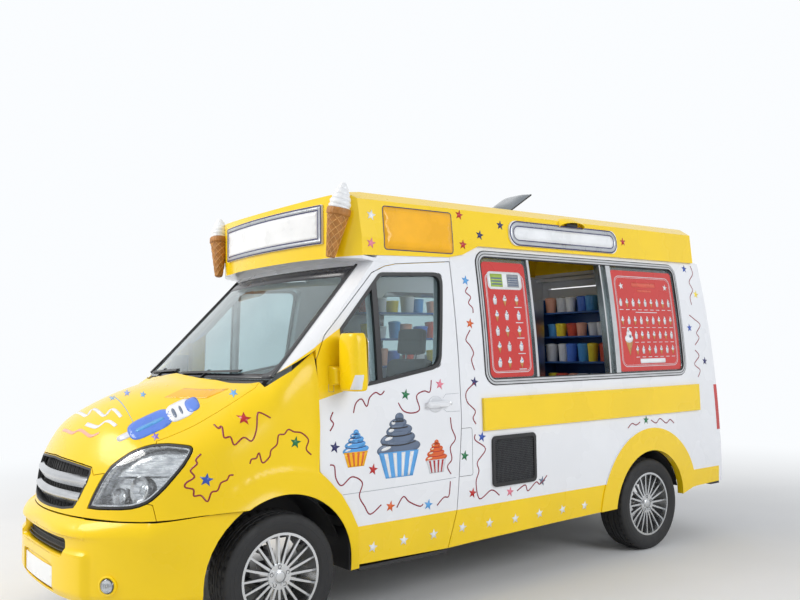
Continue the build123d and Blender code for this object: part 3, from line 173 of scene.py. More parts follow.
yellow = finish("yellow_paint", YELLOW, 0.3, coat=0.35, grain=(2.2, 0.03), dimple=None)
white = finish("white_paint", WHITE, 0.3, coat=0.5, grain=(2.2, 0.015), dimple=None)
black_plastic = finish("black_plastic", (0.018, 0.018, 0.02), 0.5)
grey_plastic = finish("grey_plastic", (0.16, 0.165, 0.175), 0.5)
dark_metal = finish("dark_metal", (0.03, 0.03, 0.032), 0.45, metallic=0.2, grain=(9.0, 0.3))
finish("cast_metal", (0.2, 0.2, 0.21), 0.6, metallic=0.8, grain=(14.0, 0.25), dimple=CAST_RELIEF)
finish("exhaust_metal", (0.42, 0.38, 0.33), 0.42, metallic=1.0, grain=(6.0, 0.25))
steel = finish("steel", (0.62, 0.63, 0.64), 0.3, metallic=1.0)
bright_trim = finish("bright_trim", (0.55, 0.56, 0.575), 0.2, metallic=1.0, grain=(8.0, 0.06))
alloy = finish("alloy", (0.56, 0.57, 0.58), 0.28, metallic=0.9, coat=0.6)
tyre_rubber = finish("tyre", (0.014, 0.014, 0.015), 0.7, grain=(20.0, 0.35), dimple=(350.0, 0.3, 0.0004))
white_plate = finish("white_plate", (0.84, 0.85, 0.86), 0.25, coat=0.4, grain=(4.0, 0.02))
finish("red_lens", (0.5, 0.012, 0.012), 0.12, coat=1.0)
wafer = finish("wafer", (0.38, 0.155, 0.03), 0.5, grain=(30.0, 0.15), dimple=WAFER_RELIEF)
fabric = finish("seat_fabric", (0.05, 0.055, 0.07), 0.9, grain=(60.0, 0.2), dimple=(1400.0, 0.6, 0.0006))
laminate = finish("blue_laminate", (0.02, 0.09, 0.3), 0.35, grain=(5.0, 0.1))
glass("window_glass", (0.62, 0.74, 0.76), 0.06)
lamp_lens = glass("lamp_lens", (0.95, 0.97, 0.98), 0.02)

for part in frame["record"]["subparts"]:
    materials = nodes[part["node"]].data.materials
    materials.clear()
    materials.append(FINISHES[part["material_slot"]])

# Camera
CAMERA_AT = Vector((5.1227, -3.9466, 1.5895))
YAW, PITCH, ROLL = 0.9181, 0.0557, -0.0161
FOCAL_PX = 852.04
WIDTH_PX, HEIGHT_PX = 800, 600
SENSOR = 36

camera_data = bpy.data.cameras.new("camera")
camera_data.sensor_width = SENSOR
camera_data.lens = FOCAL_PX / WIDTH_PX * SENSOR
camera_data.clip_start = 0.05
camera = bpy.data.objects.new("camera", camera_data)
scene.collection.objects.link(camera)
forward = Vector((-math.sin(YAW) * math.cos(PITCH), math.cos(YAW) * math.cos(PITCH), math.sin(PITCH)))
level = forward.cross(Vector((0, 0, 1))).normalized()
upright = level.cross(forward)
across = level * math.cos(ROLL) + upright * math.sin(ROLL)
above = upright * math.cos(ROLL) - level * math.sin(ROLL)
turned = Matrix((across, above, -forward)).transposed().to_4x4()
camera.matrix_world = Matrix.Translation(CAMERA_AT) @ turned
scene.camera = camera


def pixel_ray(u, v):
    """The direction in which the camera sees a pixel."""
    return (across * (u - WIDTH_PX / 2) / FOCAL_PX + above * (HEIGHT_PX / 2 - v) / FOCAL_PX + forward).normalized()


# Geometry tools
def smooth_step(value):
    value = min(1.0, max(0.0, value))
    return value * value * (3 - 2 * value)


def build(name, vertices, faces, material, body="root", out=None, thick=0.0, bevel=0.0, segments=2, angle=35,
          stands=None):
    """A mesh piece in metres on a body.

    out is a side that most faces of a sheet look to, and stands the CAD node that the piece stands for, which is
    hidden, with its slot, which is not used. Where the piece isn't a sheet given a thickness here, its faces are turned
    outwards.
    """
    if out is not None:
        faces = facing(vertices, faces, Vector(out))
    mesh = bpy.data.meshes.new(name)
    mesh.from_pydata([tuple(vertex) for vertex in vertices], [], [tuple(face) for face in faces])
    mesh.validate()
    if not thick:
        form = bmesh.new()
        form.from_mesh(mesh)
        bmesh.ops.recalc_face_normals(form, faces=form.faces)
        form.to_mesh(mesh)
        form.free()
    mesh.materials.append(material)
    mesh.shade_smooth()
    mesh.set_sharp_from_angle(angle=math.radians(angle))
    obj = bpy.data.objects.new(name, mesh)
    scene.collection.objects.link(obj)
    if thick:
        solid = obj.modifiers.new("thick", "SOLIDIFY")
        solid.thickness = thick
        solid.offset = -1
    if bevel:
        edge = obj.modifiers.new("bevel", "BEVEL")
        edge.width = bevel
        edge.segments = segments
        edge.limit_method = "ANGLE"
        edge.angle_limit = math.radians(angle)
        edge.use_clamp_overlap = True
        edge.harden_normals = True
    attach(obj, body)
    if stands:
        node, slot = stands
        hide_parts(node)
    return obj


def facing(vertices, faces, out):
    """The faces turned so that most of them look along out."""
    total = 0.0
    for face in faces:
        one, two, three = (vertices[index] for index in face[:3])
        total += (two - one).cross(three - one).dot(out)
    return faces if total > 0 else [tuple(reversed(face)) for face in faces]


def merge(parts):
    """One list of vertices and faces from several."""
    vertices, faces = [], []
    for some, more in parts:
        start = len(vertices)
        vertices += list(some)
        faces += [tuple(start + index for index in face) for face in more]
    return vertices, faces


def grid(rows, columns, rows_close=False, columns_close=False, back=False):
    """Faces between points given row by row."""
    faces = []
    for k in range(rows if rows_close else rows - 1):
        one, two = k * columns, (k + 1) % rows * columns
        for j in range(columns if columns_close else columns - 1):
            n = (j + 1) % columns
            faces.append((one + j, two + j, two + n, one + n) if back else (one + j, one + n, two + n, two + j))
    return faces


def ends(rows, columns):
    """Faces that close a grid's first and last rows."""
    last = (rows - 1) * columns
    return [tuple(range(columns))[::-1], tuple(range(last, last + columns))]


def dense(ring, step):
    """A closed ring with points no further apart than step."""
    result = []
    for here, there in zip(ring, list(ring[1:]) + [ring[0]]):
        parts = max(1, math.ceil(math.dist(here, there) / step))
        result += [tuple(h + (t - h) * k / parts for h, t in zip(here, there)) for k in range(parts)]
    return result


def within(points, rings):
    """Which of the points lie inside an odd number of rings."""
    odd = np.zeros(len(points), bool)
    for ring in rings:
        for (x0, y0), (x1, y1) in zip(ring, ring[1:] + ring[:1]):
            crosses = (y0 > points[:, 1]) != (y1 > points[:, 1])
            with np.errstate(divide="ignore", invalid="ignore"):
                at = x0 + (points[:, 1] - y0) * (x1 - x0) / (y1 - y0)
            odd ^= crosses & (points[:, 0] < at)
    return odd


def fill(outline, holes=(), step=40.0):
    """Points and triangles over a flat outline, with points about every step inside it."""
    rings = [dense(ring, step) for ring in (outline, *holes)]
    points = [point for ring in rings for point in ring]
    edges, start = [], 0
    for ring in rings:
        edges += [(start + k, start + (k + 1) % len(ring)) for k in range(len(ring))]
        start += len(ring)
    border = np.array(points)
    low, high = border.min(0), border.max(0)
    rows = np.arange(low[1] + step / 2, high[1], step * 0.87)
    inner = np.array([
        (x + (step / 2 if row % 2 else 0), y)
        for row, y in enumerate(rows) for x in np.arange(low[0] + step / 2, high[0], step)
    ]).reshape(-1, 2)
    if len(inner):
        far = np.array([np.hypot(*(border - point).T).min() > step * 0.55 for point in inner])
        points += [tuple(point) for point in inner[far & within(inner, rings)]]
    made = delaunay_2d_cdt([Vector(point) for point in points], edges, [], 0, 1e-7)
    flat = np.array([tuple(point) for point in made[0]])
    faces = [face for face in made[2] if len(face) == 3]
    good = within(np.array([flat[list(face)].mean(0) for face in faces]), rings)
    return flat, [face for face, keep in zip(faces, good) if keep]


def plate(name, outline, place, out, material, holes=(), thick=0.004, step=40.0, **more):
    """A sheet cut to an outline and laid on a surface by place, which gives a point in metres."""
    flat, faces = fill(outline, holes, step)
    return build(name, [place(*point) for point in flat], faces, material, out=out, thick=thick, **more)


def rounded(x0, x1, y0, y1, radius, steps=8):
    """A rectangle with round corners."""
    ring = []
    for cx, cy, start in ((x1 - radius, y1 - radius, 0), (x0 + radius, y1 - radius, 90),
                          (x0 + radius, y0 + radius, 180), (x1 - radius, y0 + radius, 270)):
        for k in range(steps + 1):
            turn = math.radians(start + 90 * k / steps)
            ring.append((cx + radius * math.cos(turn), cy + radius * math.sin(turn)))
    return ring


def rim(x0, x1, y0, y1, radius, wide):
    """A rounded rectangle, and the same one within it as its hole."""
    return rounded(x0, x1, y0, y1, radius), (rounded(x0 + wide, x1 - wide, y0 + wide, y1 - wide, radius - wide),)


def turns(count):
    """Angles evenly spaced round a circle."""
    return [2 * math.pi * k / count for k in range(count)]


def ellipse(cx, cy, rx, ry, steps=36, turn=0.0):
    c, s = math.cos(turn), math.sin(turn)
    points = [(rx * math.cos(t), ry * math.sin(t)) for t in turns(steps)]
    return [(cx + x * c - y * s, cy + x * s + y * c) for x, y in points]


def star(cx, cy, radius, turn=0.0, inner=0.42):
    """A five-pointed star."""
    ring = []
    for k in range(10):
        reach = radius if k % 2 == 0 else radius * inner
        angle = math.radians(90 + turn + 36 * k)
        ring.append((cx + reach * math.cos(angle), cy + reach * math.sin(angle)))
    return ring


def spline(points, parts=6):
    """A smooth curve through the points."""
    points = [np.array(point, float) for point in points]
    last = len(points) - 1
    result = []
    for k in range(last):
        p = [points[max(0, min(last, k + j))] for j in (-1, 0, 1, 2)]
        for step in range(parts):
            t = step / parts
            result.append(0.5 * (2 * p[1] + (p[2] - p[0]) * t + (2 * p[0] - 5 * p[1] + 4 * p[2] - p[3]) * t * t
                                 + (3 * p[1] - p[0] - 3 * p[2] + p[3]) * t ** 3))
    return [tuple(point) for point in result + [points[-1]]]


def ribbon(points, width):
    """The outline of a line of some width through flat points."""
    points = np.array(points, float)
    along = np.gradient(points, axis=0)
    along /= np.maximum(np.linalg.norm(along, axis=1, keepdims=True), 1e-9)
    aside = np.stack((-along[:, 1], along[:, 0]), 1) * width / 2
    return [tuple(p) for p in points + aside] + [tuple(p) for p in (points - aside)[::-1]]


def tube(path, radius, closed=False, sides=10, squash=1.0, up=(0, 0, 1)):
    """Vertices and faces of a round or oval tube along points in metres."""
    path = [Vector(point) for point in path]
    count = len(path)
    vertices = []
    for k, point in enumerate(path):
        before = path[k - 1] if k or closed else point
        after = path[(k + 1) % count] if k < count - 1 or closed else point
        along = (after - before).normalized()
        side = along.cross(Vector(up)).normalized()
        high = side.cross(along)
        vertices += [point + side * radius * math.cos(turn) + high * radius * squash * math.sin(turn)
                     for turn in turns(sides)]
    return vertices, grid(count, sides, closed, True) + ([] if closed else ends(count, sides))


def around(axis):
    """A function that gives the direction at an angle round an axis."""
    first = axis.orthogonal().normalized()
    second = axis.cross(first)
    return lambda turn: first * math.cos(turn) + second * math.sin(turn)


def lathe(profile, centre, axis, sides=48):
    """Vertices and faces of a profile of (radius, distance) in metres turned about an axis."""
    axis = Vector(axis).normalized()
    outward = around(axis)
    vertices = [Vector(centre) + axis * along + outward(turn) * radius
                for radius, along in profile for turn in turns(sides)]
    return vertices, grid(len(profile), sides, False, True)


def block(x0, x1, a0, a1, z0, z1):
    """Vertices and faces of a block in millimetres."""
    vertices = [P(x, a, z) for x in (x0, x1) for a in (a0, a1) for z in (z0, z1)]
    return vertices, [(0, 1, 3, 2), (4, 6, 7, 5), (0, 4, 5, 1), (2, 3, 7, 6), (0, 2, 6, 4), (1, 5, 7, 3)]


def tree_of(*names):
    """A ray caster over CAD nodes or pieces."""
    objects = [nodes[name] if name in nodes else bpy.data.objects[name] for name in names]
    return BVHTree.FromPolygons(*merge(
        ([obj.matrix_world @ vertex.co for vertex in obj.data.vertices],
         [tuple(face.vertices) for face in obj.data.polygons]) for obj in objects))


# Nose: one smooth surface through the CAD panels, held as distances from a centre inside the cab, degree by degree
NOSE_CENTRE = P(0, 900, 300)
RAY_FROM = 3.0
LON_FROM, LON_COUNT = -70, 141
LAT_FROM, LAT_COUNT = -16, 82
FLARE_R = 594
FLARE_OUT = 0.008
# Polygons on the nose are drawn in bearings, in units near a millimetre
NOSE_UNIT = 1700.0


def heading(lon, lat):
    return Vector((math.sin(lon) * math.cos(lat), -math.cos(lon) * math.cos(lat), math.sin(lat)))


def blur(values, sigma):
    reach = int(3 * sigma) + 1
    kernel = np.exp(-0.5 * (np.arange(-reach, reach + 1) / sigma) ** 2)
    kernel /= kernel.sum()
    for axis in (0, 1):
        wide = np.pad(values, [(reach, reach) if axis == k else (0, 0) for k in (0, 1)], mode="edge")
        values = np.apply_along_axis(lambda line: np.convolve(line, kernel, "valid"), axis, wide)
    return values


def flare_share(point):
    """How far a point stands in the raised band round the front arch, 0 to 1."""
    reach = math.hypot(point.y - AXLE_Y, point.z - AXLE_Z) * 1000
    return smooth_step((FLARE_R + 4 - reach) / 16) if abs(point.x) > 0.7 else 0.0


def measure_nose():
    tree = tree_of("hood", "front_panel", "headlamps", "left_wing", "right_wing")
    reach = np.zeros((LON_COUNT, LAT_COUNT))
    known = np.zeros((LON_COUNT, LAT_COUNT))
    for i in range(LON_COUNT):
        for j in range(LAT_COUNT):
            way = heading(math.radians(LON_FROM + i), math.radians(LAT_FROM + j))
            hit, normal, _, distance = tree.ray_cast(NOSE_CENTRE + way * RAY_FROM, -way)
            if hit is None or normal.dot(way) < 0.25:
                continue
            outward = FLARE_OUT * flare_share(hit) * way.x / max(normal.dot(way), 0.3) * (1 if hit.x > 0 else -1)
            reach[i, j] = RAY_FROM - distance - abs(outward) * 0.6
            known[i, j] = 1
    for sigma in (1.0, 2.0, 4.0, 8.0, 16.0):
        weight = blur(known, sigma)
        guess = blur(reach * known, sigma) / np.maximum(weight, 1e-6)
        gap = (known == 0) & (weight > 0.04)
        reach[gap] = guess[gap]
        known[gap] = 1
    return blur(reach, 1.5)


reach_grid = measure_nose()


def cubic(t):
    return np.array([(1 - t) ** 3, 3 * t ** 3 - 6 * t ** 2 + 4, -3 * t ** 3 + 3 * t ** 2 + 3 * t + 1, t ** 3]) / 6


def reach_at(lon, lat):
    u = min(max(math.degrees(lon) - LON_FROM, 1.0), LON_COUNT - 3.001)
    v = min(max(math.degrees(lat) - LAT_FROM, 1.0), LAT_COUNT - 3.001)
    i, j = int(u), int(v)
    return float(cubic(u - i) @ reach_grid[i - 1:i + 3, j - 1:j + 3] @ cubic(v - j))


def bearing(point):
    offset = point - NOSE_CENTRE
    return math.atan2(offset.x, -offset.y), math.atan2(offset.z, math.hypot(offset.x, offset.y))


def on_nose(lon, lat, out=0.0):
    point = NOSE_CENTRE + heading(lon, lat) * (reach_at(lon, lat) + out)
    point.x += math.copysign(FLARE_OUT * flare_share(point), point.x)
    return point


def nose_point(u, v, out=0.0):
    """The point of the nose at a place in nose units."""
    return on_nose(u / NOSE_UNIT, v / NOSE_UNIT, out)


def settle(x, a, z, axis):
    """The bearing of the nose's point with two of the coordinates given and the other found."""
    point = P(x, a, z)
    for _ in range(14):
        offset = point - NOSE_CENTRE
        distance = offset.length
        slope = offset[axis] / distance
        if abs(slope) < 0.05:
            break
        point[axis] += (reach_at(*bearing(point)) - distance) / slope * 0.7
    return bearing(point)


def bearings(points, axis):
    """Nose units of points given in millimetres."""
    return [tuple(value * NOSE_UNIT for value in settle(*point, axis)) for point in points]


def inset(ring, amount):
    """A closed ring moved inwards."""
    points = np.array(ring)
    area = 0.5 * np.sum(points[:, 0] * np.roll(points[:, 1], -1) - np.roll(points[:, 0], -1) * points[:, 1])
    turn = math.copysign(1, area)
    result = []
    for before, here, after in zip(np.roll(points, 1, 0), points, np.roll(points, -1, 0)):
        one, two = here - before, after - here
        one, two = one / (np.linalg.norm(one) + 1e-9), two / (np.linalg.norm(two) + 1e-9)
        normal = np.array((-one[1] - two[1], one[0] + two[0])) * turn
        length = np.linalg.norm(normal)
        if length < 1e-6:
            result.append(tuple(here))
            continue
        normal /= length
        lean = max(0.5, normal @ np.array((-one[1], one[0])) * turn)
        result.append(tuple(here + normal * amount / lean))
    return result


def nose_plate(name, ring, material, holes=(), thick=0.012, step=24.0, out=0.0, **more):
    """A panel of the nose, from a ring in nose units."""
    return plate(name, ring, lambda u, v: nose_point(u, v, out), (0, -0.6, 0.6), material, holes, thick, step,
                 bevel=0.0025, segments=3, **more)


def flip(ring):
    """A ring of the nose on the other side."""
    return [(-u, v) for u, v in ring][::-1]


def both_halves(half):
    """A whole ring from its half, whose ends are on the middle."""
    return half + flip(half)[1:-1]


def nose_tree():
    """A ray caster over the smooth nose."""
    lons, lats = range(-62, 63), range(-12, 62)
    points = [on_nose(math.radians(lon), math.radians(lat)) for lon in lons for lat in lats]
    return BVHTree.FromPolygons(points, grid(len(lons), len(lats), back=True))


smooth_nose = nose_tree()


def seen(*pixels):
    """Nose units of what pixels show of the nose."""
    hits = [smooth_nose.ray_cast(CAMERA_AT, pixel_ray(u, v))[0] for u, v in pixels]
    return [tuple(value * NOSE_UNIT for value in bearing(hit)) for hit in hits]


shut = bearings([(838, -62, 1395), (850, -100, 1375), (823, -226, 1306), (788, -335, 1253), (754, -441, 1201),
                 (721, -546, 1144), (703, -603, 1106)], 2)
# The lamp's edges in pixels, from the bonnet's shut line: top, outer, lower, inner and the bonnet's
LAMP_EDGES = (
    ((158.6, 444.0), (168, 443.6), (177, 444.4), (187, 445.6), (190.6, 446.6), (192.2, 448.6), (191.8, 452)),
    ((189, 457.5), (184, 465.5), (177.5, 473.5), (171, 481), (165, 488), (158.6, 494.2)),
    ((152, 500), (146.5, 503.6), (139, 506.6), (130.5, 508.6), (120, 509.4), (108, 509.3), (97, 509), (87.8, 507.6)),
    ((91, 500), (95.7, 490.2), (101, 480.5), (106.4, 471.6)),
    ((111, 466.2), (117.2, 461.4), (124, 456.6), (130.8, 452.2), (138, 449), (146, 446.2), (152.5, 444.7)),
)
lamp_ring = seen(*(pixel for edge in LAMP_EDGES for pixel in edge))
grown_lamp = inset(lamp_ring, -3.5)
shut.append(tuple((one + two) / 2 for one, two in zip(grown_lamp[0], grown_lamp[-1])))
cuts = np.cumsum([0] + [len(edge) for edge in LAMP_EDGES])
top_edge, outer_edge, low_edge, inner_edge, bonnet_edge = (grown_lamp[i:j] for i, j in zip(cuts, cuts[1:]))

grille_top = seen((50.2, 454.4), (60, 457.6), (70.3, 461), (81, 464.6), (91.4, 468.2))
grille_side = seen((90.8, 473.4), (87.2, 483.2), (80, 497.4), (73, 508.4))
grille_low = seen((62, 509.2), (50.5, 506.6), (42, 502.4))
grille_top_v, grille_low_v = grille_top[0][1] + 4, grille_low[-1][1] - 2
MIDDLE_U = 12
grille_half = ([(0, grille_top_v)] + [point for point in grille_top + grille_side + grille_low if point[0] > MIDDLE_U]
               + [(0, grille_low_v)])
grille_ring = both_halves(grille_half)

rear_edge = bearings([(0, -196, 1429), (240, -188, 1428), (480, -158, 1425), (620, -133, 1421), (700, -114, 1417),
                      (790, -88, 1410)], 2)
seam = seen((105.7, 473.2), (93.4, 475.2))
lead = seam + [(u + 1, v + 5) for u, v in grille_top[::-1] if u > MIDDLE_U] + [(0, grille_top_v + 5)]
hood_ring = both_halves(rear_edge + shut + bonnet_edge[::-1] + lead)
nose_plate("hood_skin", inset(hood_ring, 2.0), yellow, body="hood", stands=("hood", "yellow_paint"))

wing_arch = [(980, 452 * math.sin(math.radians(t)), 347 + 452 * math.cos(math.radians(t)))
             for t in range(-29, 96, 4)]
panel_seam = seen((152.4, 505.5), (156.4, 521.8))
wing_ring = (
    shut + top_edge + outer_edge + low_edge[:2] + panel_seam
    + bearings([(892, -600, 723), (922, -500, 734), (948, -400, 741), (968, -300, 742)], 0)
    + bearings(wing_arch, 0)
    + bearings([(970, 496, 318), (985, 482, 557), (990, 430, 660), (993, 368, 758), (993, 290, 840),
                (993, 225, 902), (985, 225, 1150), (978, 225, 1400), (973, 225, 1577)], 0)
    + bearings([(950, 80, 1490), (915, -20, 1430), (895, -60, 1406)], 2)
)
for side, ring in (("left", wing_ring), ("right", flip(wing_ring))):
    nose_plate(side + "_wing_skin", inset(ring, 1.6), yellow, stands=(side + "_wing", "yellow_paint"))

panel_ring = both_halves(
    [(0, grille_top_v + 3)] + [(u, v + 3) for u, v in grille_top if u > MIDDLE_U] + seam[::-1]
    + inner_edge[::-1] + low_edge[::-1][:-1] + panel_seam
    + bearings([(800, -740, 717), (700, -815, 717), (535, -905, 717), (300, -975, 717), (0, -1000, 717)], 1)
)
nose_plate("front_panel_skin", inset(panel_ring, 1.6), yellow, holes=(inset(grille_ring, 1.0),),
           stands=("front_panel", "yellow_paint"))


# Paint that changes colour across a panel
SILL_Z = 0.557
ARCH_TRIM_R = 0.588
STRIP_TOP_Z = 1.3


def place_sockets(material, kind="Object"):
    """Sockets for the three parts of the piece's own coordinates, or of its normal."""
    return add_node(material, "SeparateXYZ", {0: add_node(material, "TexCoord", {})[kind]})


def under_line(material, sockets, a, z, slope):
    """1 where the height is below a line through a station and a height in millimetres."""
    line = calc(material, "MULTIPLY_ADD", sockets[1], slope, z / 1000 - slope * station(a))
    return calc(material, "LESS_THAN", sockets[2], line)


def door_choice(material, sockets):
    """Yellow on the sill strip, and in front of the window between two sloping lines."""
    sill = calc(material, "LESS_THAN", sockets[2], SILL_Z)
    front = calc(material, "LESS_THAN", sockets[1], station(398))
    low = calc(material, "SUBTRACT", 1.0, under_line(material, sockets, 230, 1299, 0.248))
    high = under_line(material, sockets, 243, 1614, 0.61)
    corner = calc(material, "MULTIPLY", front, calc(material, "MULTIPLY", low, high))
    return calc(material, "MAXIMUM", sill, corner)


def side_choice(material, sockets):
    """Yellow on the sill strip and round the rear arch."""
    sill = calc(material, "LESS_THAN", sockets[2], SILL_Z)
    along, high = (calc(material, "SUBTRACT", sockets[k], middle) for k, middle in ((1, REAR_AXLE_Y), (2, AXLE_Z)))
    squares = [calc(material, "MULTIPLY", value, value) for value in (along, high)]
    reach = calc(material, "SQRT", calc(material, "ADD", *squares))
    return calc(material, "MAXIMUM", sill, calc(material, "LESS_THAN", reach, ARCH_TRIM_R))


def pillar_choice(material, sockets):
    ahead = calc(material, "LESS_THAN", sockets[1], station(600))
    return calc(material, "MULTIPLY", under_line(material, sockets, -38, 1423, 0.68), ahead)


def board_choice(material, sockets):
    return calc(material, "LESS_THAN", sockets[2], STRIP_TOP_Z)


def roof_choice(material, sockets):
    """White on what faces down or hangs below the fascia's edge, over the cab."""
    down = calc(material, "LESS_THAN", place_sockets(material, "Normal")[2], -0.3)
    low = calc(material, "MAXIMUM", down, under_line(material, sockets, 484, 2147, 23 / 799))
    return calc(material, "MULTIPLY", low, calc(material, "LESS_THAN", sockets[1], station(1290)))


def paint(name, first, second, choose, panels):
    """Glossy paint of two colours on CAD panels; choose gives the share of the second colour."""
    material, shader = new_material(name)
    share = choose(material, place_sockets(material))
    dress((material, shader), 2.2, mix(material, share, shade(first, 0.98), shade(second, 0.97)),
          mix(material, share, shade(first, 1.02), shade(second, 1.03)),
          {"Coat Weight": 0.5, "Specular IOR Level": 0.3, "Coat Roughness": 0.04}, (0.24, 0.32))
    for panel in panels:
        nodes[panel].data.materials[0] = material


RED_BOARD = (0.56, 0.028, 0.024)
paint("door_paint", WHITE, YELLOW, door_choice, ("left_door", "right_door"))
paint("side_paint", WHITE, YELLOW, side_choice, ("left_side_panel", "right_side_panel"))
paint("pillar_paint", WHITE, YELLOW, pillar_choice, ("cab_frame",))
paint("board_paint", RED_BOARD, YELLOW, board_choice, ("side_boards",))
paint("roof_paint", YELLOW, WHITE, roof_choice, ("roof_cap",))

# Flat shapes stuck on the panels
STICKER = {
    "red": (0.50, 0.015, 0.015), "green": (0.01, 0.17, 0.06), "blue": (0.02, 0.08, 0.42),
    "navy": (0.02, 0.02, 0.12), "pink": (0.80, 0.22, 0.30), "orange": (0.70, 0.12, 0.02),
    "sky": (0.10, 0.36, 0.75), "white": (0.82, 0.83, 0.85), "maroon": (0.26, 0.008, 0.03),
    "lemon": (0.92, 0.72, 0.05), "amber": (0.92, 0.45, 0.002), "black": (0.02, 0.02, 0.025),
    "grey": (0.30, 0.32, 0.36), "slate": (0.12, 0.16, 0.24), "tan": (0.55, 0.26, 0.07),
    "cream": (0.80, 0.72, 0.52), "line": (0.10, 0.10, 0.11), "lime": (0.35, 0.5, 0.08), "crimson": (0.42, 0.01, 0.02),
    "pale": (0.70, 0.71, 0.74), "coral": (0.70, 0.10, 0.06),
    "cornflower": (0.10, 0.22, 0.72), "purple": (0.25, 0.16, 0.62), "rose": (0.85, 0.42, 0.30),
}


def sticker(colour):
    name = "sticker_" + colour
    return FINISHES.get(name) or finish(name, STICKER[colour], 0.3, coat=0.5, grain=(6.0, 0.05), dimple=None)


def arc_x(z, three):
    """X on the circle through three (x, z) points."""
    (x1, z1), (x2, z2), (x3, z3) = three
    d = 2 * (x1 * (z2 - z3) + x2 * (z3 - z1) + x3 * (z1 - z2))
    one, two, three = x1 * x1 + z1 * z1, x2 * x2 + z2 * z2, x3 * x3 + z3 * z3
    cx = (one * (z2 - z3) + two * (z3 - z1) + three * (z1 - z2)) / d
    cz = (one * (x3 - x2) + two * (x1 - x3) + three * (x2 - x1)) / d
    return cx + math.sqrt((x1 - cx) ** 2 + (z1 - cz) ** 2 - (z - cz) ** 2)


def half_width(z):
    return arc_x(z, ((996, 850), (974, 1568), (886, 2290)) if z >= 850 else ((996, 850), (990, 560), (970, 330)))


def side_place(way, out=0.0):
    """Places station and height on the side of the body."""
    return lambda a, z: P(way * (half_width(z) + out), a, z)


# Where the shapes of a view are laid from, and the direction in which they go to their host
VIEWS = {
    "left": (lambda u, v: P(1300, u, v), Vector((-1, 0, 0))),
    "right": (lambda u, v: P(-1300, u, v), Vector((1, 0, 0))),
    "front": (lambda u, v: P(u, -1300, v), Vector((0, 1, 0))),
    "back": (lambda u, v: P(u, 4600, v), Vector((0, -1, 0))),
    "top": (lambda u, v: P(u, v, 3100), Vector((0, 0, -1))),
}


def stick(name, shapes, host, colour, view, body="root", lift=0.5, thick=0.5, step=30.0, material=None):
    """Flat shapes, each a ring or (ring, holes), laid on a host from one side; lift and thick in millimetres."""
    start, way = VIEWS[view]
    parts = []
    for shape in shapes:
        ring, holes = shape if isinstance(shape, tuple) else (shape, ())
        flat, faces = fill(ring, holes, step)
        vertices = []
        for u, v in flat:
            hit, normal, _, _ = host.ray_cast(start(u, v), way)
            if hit is None:
                hit, normal = host.find_nearest(start(u, v) + way * 0.3)[:2]
            outward = normal if normal.dot(way) < 0 else -normal
            vertices.append(hit + outward * (lift + thick) / 1000)
        parts.append((vertices, facing(vertices, faces, -way)))
    return build(name, *merge(parts), material or sticker(colour), body, thick=thick / 1000)


def shown(pixel, host, away=5.0):
    """What a pixel shows of a host, or the host's nearest point where it misses it."""
    way = pixel_ray(*pixel)
    return host.ray_cast(CAMERA_AT, way)[0] or host.find_nearest(CAMERA_AT + way * away)[0]


def on_side(pixels, host):
    """Stations and heights of what pixels show of a host."""
    return [(station_of(hit), hit.z * 1000) for hit in (shown(pixel, host) for pixel in pixels)]


hosts = {"roof": [tree_of("roof_cap")] * 2}
for panel, ends_of_names in (("door", ("_door", "_door_glass")), ("side", ("_side_panel",)), ("wing", ("_wing_skin",))):
    hosts[panel] = [tree_of(*(side + end for end in ends_of_names)) for side, _ in SIDES]


def stick_both(panel, name, shapes, colour, **more):
    """Shapes stuck on a panel of the left side and its like on the right."""
    for host, (side, _) in zip(hosts[panel], SIDES):
        stick(f"{side}_{name}", shapes, host, colour, side, side + "_door" if panel == "door" else "root", **more)


# Star places in pixels of the frame, by panel and colour
STARS = {
    "wing": {"red": [(244, 418.6)], "green": [(295.5, 442.5)], "blue": [(206.5, 480)]},
    "door": {"navy": [(334.8, 447.5)], "red": [(373, 469.5)], "orange": [(390.4, 506.4)],
             "sky": [(428.3, 504.7)], "green": [(405.5, 394.7)], "pink": [(439.7, 384.4)],
             "white": [(372.8, 547.2), (403.8, 540.2), (433.7, 534.3)]},
    "side": {"green": [(464.7, 455.8), (646, 420)], "blue": [(481.8, 436.9), (684, 269), (689.4, 327.8)],
             "red": [(472.6, 493)], "pink": [(510, 491.8)], "slate": [(542, 481)],
             "navy": [(474.3, 382), (704.7, 361)], "sky": [(465.3, 280.5)], "orange": [(469.9, 323.6)],
             "lemon": [(695.7, 294.6)],
             "white": [(462.5, 527.4), (489.5, 523), (515.3, 518.6), (539.5, 513.5), (562.5, 509.5),
                       (584.5, 505.5)]},
    "roof": {"white": [(371, 215)], "pink": [(371, 243)], "red": [(459, 215), (463, 244.7), (622.7, 242)],
             "navy": [(479.6, 235.2), (500, 225.4)]},
}
